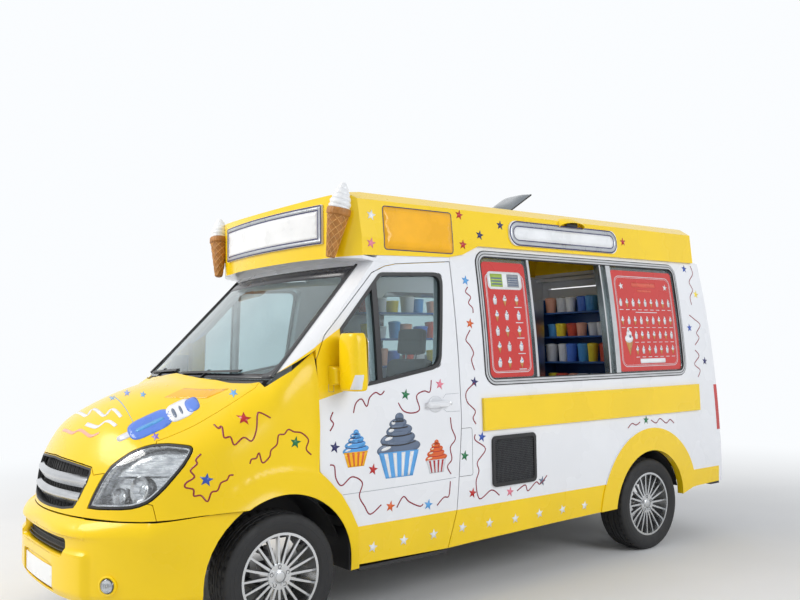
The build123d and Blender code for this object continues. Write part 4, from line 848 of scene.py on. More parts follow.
STREAMERS = {
    "wing": [
        [(213.8, 424.3), (218.4, 428.4), (221.8, 426.6), (224.1, 437.5), (230.4, 437), (234.4, 445),
         (243.6, 437.5), (251.6, 441), (256.2, 430.7), (257.4, 414.6), (260.8, 412.9), (270.6, 418)],
        [(249.9, 463.9), (251.6, 459.3), (256.2, 458.2), (259.1, 453), (262.5, 462.8), (269.4, 457),
         (271.1, 450.2), (276.9, 444.4), (278.6, 435.2), (284.3, 434.1), (288.4, 429.5), (294.1, 431.8),
         (301.6, 433), (308.4, 439.8), (306.2, 449), (311.3, 454.8)],
        [(201, 454), (196, 459.5), (197, 464), (190.5, 470.5), (194.5, 477), (186, 483), (185.5, 487.5),
         (193.4, 489.5), (194, 496), (201, 495.5), (207.5, 501.5), (211.5, 492.5), (217.5, 490.5),
         (221, 483), (227, 480), (229.5, 475.5), (233.5, 475)],
    ],
    "door": [
        [(353.5, 413), (355.7, 403.5), (361.5, 399), (366.7, 406.4), (369.6, 397.6), (375.5, 392.5),
         (380.6, 394.7), (384.3, 391)],
        [(398.2, 402.7), (403.3, 410.8), (412.1, 413), (419.5, 409.3), (416.5, 396.1), (423.9, 391),
         (429.8, 391.7), (431.2, 380)],
        [(450.3, 417.4), (451.8, 428.4), (455.4, 438.7), (450.3, 447.5), (451.8, 459.2), (447.4, 466.5),
         (451, 473.9)],
        [(330, 465), (334.4, 466.5), (335.9, 478.3), (341.7, 485.6), (352, 476.8), (362.3, 482.7),
         (359.3, 495.9), (364.5, 506.2), (370.3, 514.2), (381.3, 504.7)],
        [(396.7, 507.6), (403.3, 496.6), (409.2, 501.8), (419.5, 506.2), (423.1, 504)],
        [(437, 505.4), (443.7, 497.4), (448.8, 495.9), (450.3, 481.2)],
        [(333, 412), (330.5, 419), (333.5, 424), (330, 431)],
    ],
    "side": [
        [(474.5, 382.9), (466.4, 391.7), (467.2, 402), (475.2, 410.8), (473, 418.1), (476, 424)],
        [(475.2, 434.3), (475.2, 440.1), (485.5, 448.9), (477.4, 462.1), (478.9, 470.9), (476, 482.7),
         (479.6, 498.8), (491.4, 490), (499.4, 495.2)],
        [(517, 490.8), (525.1, 484.9), (528, 490.8), (536, 482), (540, 484), (547, 475.3)],
        [(467.5, 287), (465.5, 292), (470.5, 297), (468.5, 303), (472.5, 308), (473, 313)],
        [(470, 330), (465.8, 339.5), (470, 345.5), (473.5, 353), (471.5, 360), (474.5, 370)],
        [(690, 266), (692.5, 274), (689, 282), (692.5, 290), (690, 297), (691.5, 304.7)],
        [(689, 315), (694, 319), (700, 325), (696.5, 333), (699, 338), (695, 345)],
        [(695, 350), (699, 356), (694.5, 364), (700, 370), (698, 377)],
        [(628, 428), (632, 423.5), (636, 425), (640, 422)],
        [(651, 420), (656, 423), (660, 418.5), (666, 423), (670, 419.5), (674, 423)],
    ],
}

# Stars and streamers
STAR_R, STREAMER_WIDE = 36, 8
for panel, colours in STARS.items():
    for colour, pixels in colours.items():
        rings = [star(a, z, STAR_R, (37 * k) % 30 - 12) for k, (a, z) in enumerate(on_side(pixels, hosts[panel][0]))]
        stick_both(panel, f"{panel}_stars_{colour}", rings, colour)
for panel, lines in STREAMERS.items():
    rings = [ribbon(spline(on_side(line, hosts[panel][0]), 5), STREAMER_WIDE) for line in lines]
    stick_both(panel, panel + "_streamers", rings, "maroon", step=14.0)

# Headlamps: a clear cover, a seal round it, and a silvered bowl with two reflectors in a black case
reflector = dress(new_material("lamp_reflector"), 14.0, (0.42, 0.44, 0.47), (0.82, 0.84, 0.87), {"Metallic": 0.75},
                  (0.12, 0.3), 2.0, (1, 1, 5))
bump(reflector, noise(reflector, 30.0, 1.0, (1, 1, 4)), 0.25, 0.002)
BOWL_DEEP = 0.075
REFLECTORS = (((133.5, 488.5), 0.062, lamp_lens), ((113, 496), 0.043, reflector))
# Shares of a reflector's radius, with the distance along its axis
BOWL = ((0.15, -0.045), (0.55, -0.036), (0.85, -0.016), (1, 0.012), (1.06, 0.018), (1.12, 0.012), (1.1, -0.02))


def band(ring, step, place, depths):
    """A wall along a ring between two depths of the surface that place gives."""
    ring = dense(ring, step)
    return [place(u, v, out) for u, v in ring for out in depths], grid(len(ring), 2, rows_close=True, back=True)


def headlamp(side, way, ring):
    def layer(part, amount, material, **more):
        nose_plate(f"{side}_lamp_{part}", inset(ring, amount), material, **more)

    def wall(part, amount, material, *depths):
        build(f"{side}_lamp_{part}", *band(inset(ring, amount), 20, nose_point, depths), material, thick=0.002)

    layer("cover", 7, lamp_lens, thick=0.003, stands=("headlamps", "lamp_lens") if side == "left" else None)
    layer("seal", 0.5, black_plastic, holes=(inset(ring, 11),), thick=0.010, out=0.0012)
    layer("bright_edge", 11, reflector, holes=(inset(ring, 19),), thick=0.006, out=-0.005)
    layer("bowl", 12, reflector, thick=0.003, out=-BOWL_DEEP)
    wall("wall", 14, reflector, -0.006, -BOWL_DEEP)
    wall("case", 9, black_plastic, -0.014, -BOWL_DEEP - 0.006)
    layer("back", 9, black_plastic, thick=0.003, out=-BOWL_DEEP - 0.007)
    visor = inset(ring, 30)
    us, vs = np.array(visor).T
    cut = vs.min() + 0.52 * (vs.max() - vs.min())
    visor = [(u, max(v, cut + 0.12 * (way * u) - 0.12 * abs(us).mean())) for u, v in dense(visor, 12)]
    nose_plate(side + "_lamp_visor", visor, reflector, thick=0.004, step=18.0, out=-0.045)
    for k, (pixel, radius, material) in enumerate(REFLECTORS):
        lon, lat = bearing(lamp_tree.ray_cast(CAMERA_AT, pixel_ray(*pixel))[0])
        centre = on_nose(way * lon, lat, -0.055)
        aim = Vector((way * 0.25, -1, 0.12)).normalized()
        bowl = [(radius * share, along) for share, along in BOWL]
        build(f"{side}_reflector_{k}", *lathe(bowl, centre, aim, 40), bright_trim, thick=0.0015)
        dome = [(radius * 0.62 * math.cos(t), -0.03 + radius * 0.5 * math.sin(t))
                for t in np.linspace(0, math.pi / 2 * 0.98, 9)]
        build(f"{side}_projector_{k}", *lathe(dome, centre, aim, 32), material, thick=0.002)


lamp_flat, lamp_faces = fill(lamp_ring, step=30.0)
lamp_tree = BVHTree.FromPolygons([nose_point(u, v) for u, v in lamp_flat], lamp_faces)
headlamp("left", 1, lamp_ring)
headlamp("right", -1, flip(lamp_ring))

# Grille: black mesh in a black frame, with two bright slats and upright ribs
mesh_black = finish("mesh_black", (0.012, 0.012, 0.013), 0.6, dimple=(1600.0, 0.6, 0.001))
nose_plate("grille_back", inset(grille_ring, 4), mesh_black, thick=0.004, out=-0.05, stands=("grille", "bright_trim"))
build("grille_wall", *band(inset(grille_ring, 3), 20, nose_point, (0.0, -0.052)), black_plastic, thick=0.004)
nose_plate("grille_lip", inset(grille_ring, 1), black_plastic, holes=(inset(grille_ring, 12),), thick=0.012, out=0.001)
# Share of the slat's height, and how far it stands out of the nose
SLAT = ((0, -0.036), (0, -0.020), (0.40, 0.005), (0.52, 0.007), (0.66, 0.005), (1.0, -0.016), (1.0, -0.036))
SLAT_STEPS = 36
RIB_GAP = 44.0


def half_at(z):
    """How far the grille reaches to the side at a height."""
    points = [nose_point(u, v) for u, v in dense(grille_half, 6)]
    return max(point.x * 1000 for point in points if abs(point.z * 1000 - z) < 7)


for name, low, high in (("slat_high", 868, 934), ("slat_low", 776, 842)):
    half = half_at((low + high) / 2) - 8
    vertices = []
    for k in range(SLAT_STEPS + 1):
        x = -half + 2 * half * k / SLAT_STEPS
        vertices += [on_nose(*settle(x, -960 + abs(x) * 0.1, low + (high - low) * share, 1), out)
                     for share, out in SLAT]
    faces = grid(SLAT_STEPS + 1, len(SLAT), False, True) + ends(SLAT_STEPS + 1, len(SLAT))
    build(name, vertices, faces, bright_trim, bevel=0.002, angle=25)
for k in range(-10, 11):
    u = k * RIB_GAP
    column = [v for v in np.arange(grille_low_v, grille_top_v + 40, 6) if within(np.array([[u, v]]), [grille_ring])[0]]
    if len(column) > 4:
        line = [nose_point(u, v, -0.04) for v in column]
        build(f"grille_rib_{k + 10}", *tube(line, 0.0035, sides=6, up=(1, 0, 0)), black_plastic)

# Bumper: a bright lip under the seam, a wall, and a raised middle round the slot and the plate
BUMPER_TOP, BUMPER_LOW = 712, 297
BUMPER_PLAN = ((0, -1012), (160, -1009), (320, -998), (460, -972), (575, -932), (680, -868), (775, -785),
               (850, -700), (905, -600), (942, -500), (966, -400), (981, -292), (986, -205))
LIP_TALL = 80
FRONT_LIMIT = -1022.5
plan_line = spline(BUMPER_PLAN, 10)
plan_stations = [a for _, a in plan_line]
plan_reach = [0.0]
for here, there in zip(plan_line, plan_line[1:]):
    plan_reach.append(plan_reach[-1] + math.dist(here, there))
nose_behind = []
for x, a in plan_line:
    if x < 850:
        ahead = station_of(on_nose(*settle(x, a, BUMPER_TOP + 4, 1))) - a
    else:
        ahead = (x - on_nose(*settle(x, a, BUMPER_TOP + 25, 0)).x * 1000) * 0.7
    nose_behind.append(max(3.0, ahead * (0.95 if x < 500 else 0.75) + 1.0))


def s_at(a):
    """Distance along the bumper's plan of a station on its side."""
    return float(np.interp(a, plan_stations, plan_reach))


def top_at(s):
    """Height of the bumper's top edge: it rises along the wing."""
    a = float(np.interp(abs(s), plan_reach, plan_stations))
    return BUMPER_TOP + float(np.interp(a, (-680, -600, -500, -400), (0, 7, 18, 25)))


def bumper_at(s, z, out=0.0):
    """The bumper's point a distance s along its plan from the middle, at a height."""
    way = -1 if s < 0 else 1
    reach = min(abs(s), plan_reach[-1])
    k = min(len(plan_line) - 2, max(0, int(np.searchsorted(plan_reach, reach)) - 1))
    share = (reach - plan_reach[k]) / (plan_reach[k + 1] - plan_reach[k])
    (x0, a0), (x1, a1) = plan_line[k], plan_line[k + 1]
    x, a = x0 + (x1 - x0) * share, a0 + (a1 - a0) * share
    length = math.hypot(x1 - x0, a1 - a0)
    lip = smooth_step((760 - reach) / 420) * 20
    drop = top_at(reach) - z
    behind = np.interp(reach, plan_reach, nose_behind)
    if drop < LIP_TALL:
        push = -behind + (lip + behind) * math.sin(max(0, drop / LIP_TALL) * math.pi / 2) ** 0.75
    else:
        push = lip * (1 - smooth_step((drop - LIP_TALL) / 9))
    if drop > LIP_TALL:
        push = max(push, smooth_step((560 - z) / 24) * smooth_step((620 - reach) / 60) * 20)
    push -= 22 * smooth_step((340 - z) / 45)
    push += out
    return P(way * (x + (a1 - a0) / length * push), max(FRONT_LIMIT, a - (x1 - x0) / length * push), z)


def bumper_plate(name, ring, material, out, **more):
    plate(name, ring, lambda s, z: bumper_at(s, z, out), (0, -1, 0), material, thick=0.003, **more)


rear_of_bumper = [(s_at(-math.sqrt(454 ** 2 - (z - 347) ** 2)), z) for z in (736, 700, 650, 600, 540, 480, 420, 360)]
rear_of_bumper.append((rear_of_bumper[-1][0], BUMPER_LOW))
top_reach, low_reach = rear_of_bumper[0][0] - 3, rear_of_bumper[-1][0] - 20
bumper_outline = (
    [(s, top_at(s)) for s in np.linspace(-top_reach, top_reach, 70)] + rear_of_bumper
    + [(s, BUMPER_LOW) for s in np.linspace(low_reach, -low_reach, 50)] + [(-s, z) for s, z in rear_of_bumper[::-1]]
)
SLOT_HALF = 400
slot_ring = rounded(-SLOT_HALF, SLOT_HALF, 511, 607, 22)
PLATE_WIDE, PLATE_TALL, PLATE_Z = 520, 111, 385
PLATE_OUT = -8


def plate_ring(beside, above_it, radius):
    half, tall = PLATE_WIDE / 2 + beside, PLATE_TALL / 2 + above_it
    return rounded(-half, half, PLATE_Z - tall, PLATE_Z + tall, radius)


recess_ring = plate_ring(22, 20, 16)
plate("bumper_skin", bumper_outline, bumper_at, (0, -1, 0), yellow, holes=(slot_ring, recess_ring), thick=0.006,
      step=15.0, bevel=0.003, segments=3, stands=("front_bumper", "yellow_paint"))
for name, ring, deep in (("slot", slot_ring, 60), ("plate_recess", recess_ring, 16)):
    build(name + "_wall", *band(ring, 15, bumper_at, (-3, -deep)), yellow, thick=0.003)
bumper_plate("slot_back", slot_ring, mesh_black, -58, step=25.0)
bumper_plate("plate_recess_back", recess_ring, yellow, -15, step=25.0)
for k, z in enumerate((528, 545, 562, 579)):
    line = [bumper_at(s, z, -42) for s in np.linspace(10 - SLOT_HALF, SLOT_HALF - 10, 24)]
    build(f"slot_bar_{k}", *tube(line, 0.004, sides=6), black_plastic)
bumper_plate("plate_blank", plate_ring(0, 0, 8), white_plate, PLATE_OUT, bevel=0.0008,
             stands=("number_plate", "white_plate"))
for k, s in enumerate((-240, 240)):
    screw = lathe([(0.0001, 0.002), (0.005, 0.0015), (0.0065, 0)], bumper_at(s, PLATE_Z, PLATE_OUT), (0, -1, 0), 16)
    build(f"plate_screw_{k}", *screw, steel)

# Fog lamps in painted rings, and tow eye covers
fog_at, fog_normal = tree_of("bumper_skin").ray_cast(CAMERA_AT, pixel_ray(107.8, 586))[:2]
for side, way in SIDES:
    centre = Vector((fog_at.x * way, fog_at.y, fog_at.z))
    aim = Vector((abs(fog_normal.x) * way, -abs(fog_normal.y), 0)).normalized()
    for part, profile, material in (
        ("ring", [(0.054, -0.004), (0.052, 0.006), (0.045, 0.010), (0.039, 0.007)], yellow),
        ("bowl", [(0.040, 0.007), (0.026, 0.005), (0.012, 0.0035), (0.0005, 0.003)], reflector),
        ("glass", [(0.0395, 0.0085), (0.026, 0.012), (0.012, 0.0135), (0.0005, 0.014)], lamp_lens),
    ):
        build(f"{side}_fog_{part}", *lathe(profile, centre, aim, 36), material, thick=0.0015)
    bumper_plate(side + "_tow_cover", ellipse(way * 560, 640, 26, 26, 28), yellow, 1.0, step=12.0, bevel=0.0006)

# Bonnet: a plain patch, an ice lolly, ribbons and stars
hood_tree = tree_of("hood_skin")


def on_bonnet(pixels):
    """X and stations of what pixels show of the bonnet."""
    return [(hit.x * 1000, station_of(hit)) for hit in (shown(pixel, hood_tree, 4.2) for pixel in pixels)]


def lolly_ring(start, end, share):
    """A blunt ring along part of the lolly, in pixels; share is of its width."""
    foot, tip = np.array((117.0, 440.0)), np.array((201, 400.5))
    along = tip - foot
    side = np.array((-along[1], along[0])) / np.linalg.norm(along)
    wide = 9.5 * share
    blunt = wide / np.linalg.norm(along) * 0.6
    ring = []
    for t in np.linspace(0, 2 * math.pi, 33)[:-1]:
        s, c = math.sin(t), math.cos(t)
        reach = (start + end) / 2 + ((end - start) / 2 - blunt) * math.copysign(abs(c) ** 0.35, c)
        spread = wide * math.copysign(abs(s) ** 0.6, s)
        ring.append(tuple(foot + along * (reach + blunt * c) + side * spread))
    return ring


def on_hood(name, rings, colour, step, lift=0.5):
    stick("bonnet_" + name, rings, hood_tree, colour, "top", "hood", lift=lift, step=step)


on_hood("patch", [on_bonnet(((164, 397.6), (184, 388.2), (229, 388.6), (207, 398.2)))], "amber", 18.0)
for k, (colour, lift, parts) in enumerate((
    ("pale", 0.4, [(0.0, 0.22, 0.32)]),
    ("cornflower", 0.7, [(0.14, 0.64, 1.0)]),
    ("white", 0.7, [(0.60, 0.90, 0.95)]),
    ("cornflower", 1.0, [(0.82, 0.97, 0.72)]),
    ("sky", 1.1, [(0.22, 0.56, 0.20)]),
    ("slate", 1.1, [(0.66, 0.70, 0.55), (0.745, 0.775, 0.5)]),
)):
    on_hood(f"lolly_{k}", [on_bonnet(lolly_ring(*part)) for part in parts], colour, 18.0, lift)
for k, (colour, wide, lines) in enumerate((
    ("white", 18, [[(76, 413), (86, 416), (93, 409), (104, 416), (112, 409), (121, 417)],
                   [(86, 424), (97, 427), (107, 421), (116, 426)]]),
    ("rose", 11, [[(63, 430), (72, 433), (80, 430), (90, 436), (99, 433)]]),
)):
    on_hood(f"swirls_{k}", [ribbon(spline(on_bonnet(line)), wide) for line in lines], colour, 16.0)
for k, (colour, radius, u, v) in enumerate((
    ("sky", 4.8, 233.5, 393), ("purple", 4.6, 155.5, 436.5), ("sky", 3.6, 112, 397.5), ("cornflower", 3.6, 127, 393),
    ("sky", 3.6, 143, 394.5),
)):
    on_hood(f"star_{k}", [on_bonnet(star(u, v, radius, 12 * k))], colour, 14.0)


# Tyres with tread and sidewall rings
TYRE_HALF = [
    (0.2345, 0.094), (0.2400, 0.104), (0.2500, 0.1085), (0.2560, 0.1105), (0.2575, 0.1120), (0.2600, 0.1120),
    (0.2615, 0.1125), (0.2780, 0.1165), (0.2900, 0.1172), (0.2915, 0.1160), (0.2935, 0.1160), (0.2950, 0.1172),
    (0.3100, 0.1165), (0.3120, 0.1150), (0.3180, 0.1140), (0.3280, 0.1105), (0.3350, 0.1055), (0.3400, 0.0990),
    (0.3430, 0.0930), (0.3440, 0.0880), (0.3450, 0.0760), (0.3455, 0.0720), (0.3385, 0.0705), (0.3385, 0.0640),
    (0.3460, 0.0625), (0.3465, 0.0330), (0.3395, 0.0315), (0.3395, 0.0245), (0.3468, 0.0230), (0.3470, 0.0060),
    (0.3440, 0.0050),
]
TYRE_SIDES = 160


def tyre(name, body, centre):
    """A tyre round its CAD centre, with blocks cut across its tread."""
    rows = TYRE_HALF + [(radius, -x) for radius, x in TYRE_HALF[::-1]]
    vertices = []
    for radius, x in rows:
        for j, turn in enumerate(turns(TYRE_SIDES)):
            cut = 0.0
            if radius > 0.341 and abs(x) > 0.07 and j % 4 == 0:
                cut = 0.006
            elif radius > 0.3455 and 0.03 < abs(x) < 0.065 and (j + (1 if x > 0 else 0)) % 4 == 1:
                cut = 0.004
            reach = radius - cut
            vertices.append(centre + Vector((x, reach * math.cos(turn), reach * math.sin(turn))))
    build(name + "_rubber", vertices, grid(len(rows), TYRE_SIDES, True, True), tyre_rubber, body, angle=28,
          stands=(name, "tyre"))


CAP = ((0.036, -0.004), (0.036, 0.003), (0.033, 0.006), (0.022, 0.0085), (0.010, 0.0095), (0.0003, 0.0098))
CAP_GROOVE = ((0.0275, 0.0072), (0.0285, 0.0080), (0.0295, 0.0072))
LUG_HOLE = ((0.0115, 0.0005), (0.0105, 0.0020), (0.0085, 0.0012), (0.0080, -0.003), (0.0003, -0.003))
LUGS, LUG_R, LUG_TURN = 5, 0.053, 0.31
VALVE = ((0.0085, -0.05), (0.0085, 0.022), (0.0065, 0.026), (0.0003, 0.026))
VALVE_AT = (0.055, 0.214 * math.cos(0.8), 0.214 * math.sin(0.8))
# Near black: the valve's own rubber, and painted shade in the cap's groove and the lug holes
hub_black_and_shade = finish("hub_black_and_shade", (0.02, 0.02, 0.022), 0.5)
for end in ("front", "rear"):
    for side, way in SIDES:
        name = f"{end}_{side}"
        body = name + "_wheel"
        low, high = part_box(name + "_tyre")
        centre = (Vector(low) + Vector(high)) / 2
        tyre(name + "_tyre", body, centre)
        rim_tree = tree_of(name + "_rim")
        outward = Vector((way, 0, 0))

        def rim_face(radius, turn):
            start = centre + Vector((way * 0.4, radius * math.cos(turn), radius * math.sin(turn)))
            return rim_tree.ray_cast(start, -outward)[0] or start - Vector((way * 0.35, 0, 0))

        middle = Vector((rim_face(0.004, 0.3).x, centre.y, centre.z))
        build(name + "_cap", *lathe(CAP, middle, outward, 40), alloy, body)
        # A dark ring and dark shallow linings: painted shade of the cap's groove and of the lug holes
        build(name + "_cap_groove_shade", *lathe(CAP_GROOVE, middle, outward, 40), hub_black_and_shade, body)
        lugs = [lathe(LUG_HOLE, rim_face(LUG_R, turn + LUG_TURN), outward, 20) for turn in turns(LUGS)]
        build(name + "_lug_hole_shades", *merge(lugs), hub_black_and_shade, body)
        valve_at = centre + Vector((way * VALVE_AT[0], *VALVE_AT[1:]))
        build(name + "_valve", *lathe(VALVE, valve_at, outward, 12), hub_black_and_shade, body)

# Roof cones: a wafer with a lattice and a collar, and a swirl with a leaning tip
CONE_FOOT, CONE_TIP = P(775, 458, 2141), P(855, 512, 2605)
LEAN = (CONE_TIP - CONE_FOOT).normalized()
WAFER_PARTS, WAFER_SIDES = 64, 96
WAFER = [(0.004, 0.0), (0.022, 0.001)] + [
    (0.0265 + 0.0385 * k / WAFER_PARTS, 0.005 + 0.256 * k / WAFER_PARTS) for k in range(WAFER_PARTS + 1)]
COLLAR = [(0.0700, 0.2640), (0.0730, 0.2660), (0.0738, 0.2700), (0.0738, 0.2980), (0.0725, 0.3030),
          (0.0690, 0.3055), (0.0500, 0.3060)]
SWIRL_RISE = (0, 0.04, 0.12, 0.30, 0.50, 0.72, 0.88, 0.96, 1)
SWIRL_REACH = (0.052, 0.066, 0.069, 0.066, 0.056, 0.040, 0.026, 0.015, 0)
SWIRL_ROWS, SWIRL_SIDES, SWIRL_WINDS = 90, 72, 2.5
LATTICE_LINES, LATTICE_STEPS = 7, 44
wafer_line = finish("wafer_line", (0.62, 0.33, 0.10), 0.5, grain=(30.0, 0.15), dimple=WAFER_RELIEF)
swirl_white = finish("swirl_white", (0.80, 0.81, 0.83), 0.35, coat=0.5, grain=(8.0, 0.03))


def wafer_reach(k, radius, along, turn):
    """The wafer's radius at an angle, with its ridges and the collar's flutes."""
    if 0 < k < len(WAFER):
        ridge = max(0.0, max(math.cos(7 * turn + along * 120), math.cos(7 * turn - along * 120)) - 0.72) / 0.28
        return radius + 0.0016 * ridge - 0.001
    if 0.265 <= along < 0.304 and radius > 0.0715:
        return radius + 0.0009 * math.cos(24 * turn) - 0.0006
    return radius


for side, way in SIDES:
    foot = Vector((CONE_FOOT.x * way, CONE_FOOT.y, CONE_FOOT.z))
    lean = Vector((LEAN.x * way, LEAN.y, LEAN.z))
    outward = around(lean)
    vertices = [foot + lean * along + outward(turn) * wafer_reach(k, radius, along, turn)
                for k, (radius, along) in enumerate(WAFER + COLLAR) for turn in turns(WAFER_SIDES)]
    rows = len(WAFER + COLLAR)
    build(side + "_wafer", vertices, grid(rows, WAFER_SIDES, False, True) + ends(rows, WAFER_SIDES)[:1], wafer,
          angle=60, stands=("roof_cones", "wafer") if side == "left" else None)
    tip_way = Vector((way * 0.5, -0.3, 0))
    vertices = []
    for k in range(SWIRL_ROWS + 1):
        share = 1 - (1 - k / SWIRL_ROWS) ** 1.15
        reach = float(np.interp(share, SWIRL_RISE, SWIRL_REACH))
        middle = foot + lean * (0.300 + 0.166 * share) + tip_way * 0.012 * max(0.0, share - 0.6) ** 1.5 * 4
        for turn in turns(SWIRL_SIDES):
            groove = abs(math.cos(SWIRL_WINDS * 2 * math.pi * share + turn / 2)) ** 0.55
            vertices.append(middle + outward(turn) * (reach * (0.86 + 0.14 * groove)))
    rows = SWIRL_ROWS + 1
    build(side + "_swirl", vertices, grid(rows, SWIRL_SIDES, False, True) + ends(rows, SWIRL_SIDES)[:1], swirl_white,
          angle=80)
    parts = []
    for start in turns(LATTICE_LINES):
        for wind in (-17, 17):
            line = []
            for step in range(LATTICE_STEPS + 1):
                along = 0.008 + 0.250 * step / LATTICE_STEPS
                radius = 0.0272 + 0.0385 * (along - 0.005) / 0.256
                line.append(foot + lean * along + outward(start + wind * along) * radius)
            parts.append(tube(line, 0.0019, sides=5))
    build(side + "_wafer_lines", *merge(parts), wafer_line)

# Signs: dark lines and a bright band round their white middles
sign_tree = tree_of("sign_panels")
silver = finish("silver_band", (0.45, 0.47, 0.50), 0.3, metallic=0.6, grain=(10.0, 0.08))


def side_sign(cut):
    return rounded(1842 + cut, 3004 - cut, 2286 + cut, 2463 - cut, 88 - cut, 14)


def front_sign(cut):
    return rounded(-655 + cut, 655 - cut, 2240 + cut, 2485 - cut, max(4, 12 - cut), 5)


def sign(view, ring, line, band_edges, face, step):
    """A sign's two dark lines, the band between them and its face, by how far each edge is set in."""
    first, last = band_edges
    stick(view + "_sign_line", [(ring(line), (ring(first),)), (ring(last), (ring(face),))], sign_tree, "navy", view,
          step=step)
    stick(view + "_sign_band", [(ring(first), (ring(last),))], sign_tree, "grey", view, step=step, material=silver,
          thick=1.2)
    stick(view + "_sign_face", [ring(face)], sign_tree, "white", view, lift=0.3)


sign("left", side_sign, 0.5, (9, 36), 42, 16.0)
sign("right", side_sign, 0.5, (9, 36), 42, 16.0)
sign("front", front_sign, 1, (9, 30), 37, 20.0)

# Duck-bill hoods over the side signs
HOOD_ACROSS, HOOD_OUT = 28, 12
HOOD_TUBE = ((0.016, -0.06), (0.018, -0.055), (0.018, 0.055), (0.016, 0.06), (0.0005, 0.06))
for side, way in SIDES:
    vertices = []
    for i in range(HOOD_ACROSS + 1):
        t = -1 + 2 * i / HOOD_ACROSS
        curve = math.sqrt(max(0.0, 1 - t * t)) ** 0.7
        for j in range(HOOD_OUT + 1):
            s = j / HOOD_OUT
            z = 2452 + 84 * curve * math.cos(s * math.pi / 2 * 0.72) ** 0.8 - 8 * s
            vertices.append(P(way * (868 + 92 * s * (0.35 + 0.65 * curve)), 2491 + 137 * t, z))
    build(side + "_lamp_hood", vertices, grid(HOOD_ACROSS + 1, HOOD_OUT + 1), yellow, out=(way, 0, 1), thick=0.004,
          bevel=0.0015, stands=("sign_lamps", "yellow_paint") if side == "left" else None)
    build(side + "_lamp_tube", *lathe(HOOD_TUBE, P(way * 905, 2491, 2476), (0, 1, 0), 20), black_plastic)

# Vent lid: a smoked bubble on a frame, stored open
lid_plastic = dress(new_material("smoked_lid"), 7.0, (0.16, 0.19, 0.22), (0.24, 0.27, 0.30),
                    {"Transmission Weight": 0.35, "Coat Weight": 0.6}, (0.1, 0.2))
LID_TURN = math.radians(32)
LID_COUNT = 24
LID_KNUCKLE = ((0.0003, -0.022), (0.0065, -0.022), (0.0065, 0.022), (0.0003, 0.022))
lid_along = Vector((0, math.cos(LID_TURN), math.sin(LID_TURN)))
lid_up = Vector((0, -math.sin(LID_TURN), math.cos(LID_TURN)))
lid_at = P(250, 2375, 2650)
lid_steps = [-1 + 2 * i / LID_COUNT for i in range(LID_COUNT + 1)]
vertices = []
for u in lid_steps:
    for v in lid_steps:
        bulge = 0.036 * (1 - u ** 4) ** 0.7 * (1 - v ** 4) ** 0.7 - 0.004
        vertices.append(lid_at + Vector((0.148 * u, 0, 0)) + lid_along * (0.1425 + 0.140 * v) + lid_up * bulge)
build("lid_bubble", vertices, grid(LID_COUNT + 1, LID_COUNT + 1), lid_plastic, "vent_lid", out=lid_up, thick=0.004,
      bevel=0.001, stands=("vent_lid", "grey_plastic"))
lid_edge = [lid_at + Vector((x / 1000, 0, 0)) + lid_along * (y / 1000) - lid_up * 0.006
            for x, y in dense(rounded(-146, 146, 4, 281, 14, 4), 30)]
build("lid_rim", *tube(lid_edge, 0.007, closed=True, sides=8, squash=0.8, up=lid_up), black_plastic, "vent_lid")
for k, x in enumerate((-90, 90)):
    knuckle = lathe(LID_KNUCKLE, lid_at + Vector((x / 1000, 0, 0)), (1, 0, 0), 16)
    build(f"lid_knuckle_{k}", *knuckle, dark_metal, "vent_lid")


# Doors: rubber round the window, divider, handle, lock and joint lines
def round_ring(points, radii, steps=7):
    """A ring with each corner rounded by its own radius."""
    ring = []
    points = [np.array(point, float) for point in points]
    for k, (here, radius) in enumerate(zip(points, radii)):
        before, after = points[k - 1] - here, points[(k + 1) % len(points)] - here
        before, after = before / np.linalg.norm(before), after / np.linalg.norm(after)
        half = math.acos(max(-1, min(1, before @ after))) / 2
        reach = radius / math.tan(half)
        one, two = here + before * reach, here + after * reach
        for step in range(steps + 1):
            t = step / steps
            ring.append(tuple((1 - t) ** 2 * one + 2 * t * (1 - t) * here + t * t * two))
    return ring


WINDOW = ((402, 1345), (402, 1706), (716, 2046), (1217, 2066), (1142, 1463), (639, 1380))
DIVIDER = ((646, 1376), (646, 1972), (686, 2014), (686, 1384))
HANDLE = (1000, 1186, 1212, 1250)
LOCK = ((0.011, -0.004), (0.011, 0.002), (0.009, 0.003), (0.002, 0.003), (0.0003, 0.001))
gasket_out = round_ring(inset(WINDOW, -5), (24, 16, 62, 70, 110, 40))
gasket_in = round_ring(inset(WINDOW, 17), (24, 12, 50, 58, 98, 40))
rubber_black = finish("rubber_black", (0.012, 0.012, 0.014), 0.45, dimple=(500.0, 0.2, 0.0003))
for side, way in SIDES:
    body = side + "_door"

    def on_door(part, ring, material, lift, **more):
        plate(f"{side}_{part}", ring, side_place(way, lift), (way, 0, 0), material, body=body, **more)

    def handle_place(a, z):
        a0, a1, z0, z1 = HANDLE
        edge = min(1.0, min(a - a0, a1 - a, (z - z0) * 1.3, (z1 - z) * 1.3) / 16)
        return side_place(way, 24 + 12 * math.sin(max(0.0, edge) * math.pi / 2))(a, z)

    on_door("window_rubber", gasket_out, rubber_black, 3.0, holes=(gasket_in,), thick=0.028, step=30.0, bevel=0.002)
    on_door("window_divider", list(DIVIDER), rubber_black, 2.0, thick=0.026, step=30.0, bevel=0.002)
    # A flat disc a little darker than the white paint round the handle: painted shade of the handle's recess
    on_door("handle_recess_shade", ellipse(1085, 1232, 62, 52, 40), sticker("pale"), 0.8, thick=0.003, step=16.0)
    plate(side + "_handle", rounded(*HANDLE, 18.5), handle_place, (way, 0, 0), white, thick=0.012, step=12.0,
          bevel=0.002, body=body)
    for k, a in enumerate((1012, 1174)):
        post = block(way * (half_width(1231) - 6), way * (half_width(1231) + 28), a - 10, a + 10, 1218, 1244)
        build(f"{side}_handle_post_{k}", *post, white, body, bevel=0.004)
    build(side + "_lock", *lathe(LOCK, side_place(way)(1215, 1230), (way, 0, 0), 24), steel, body)

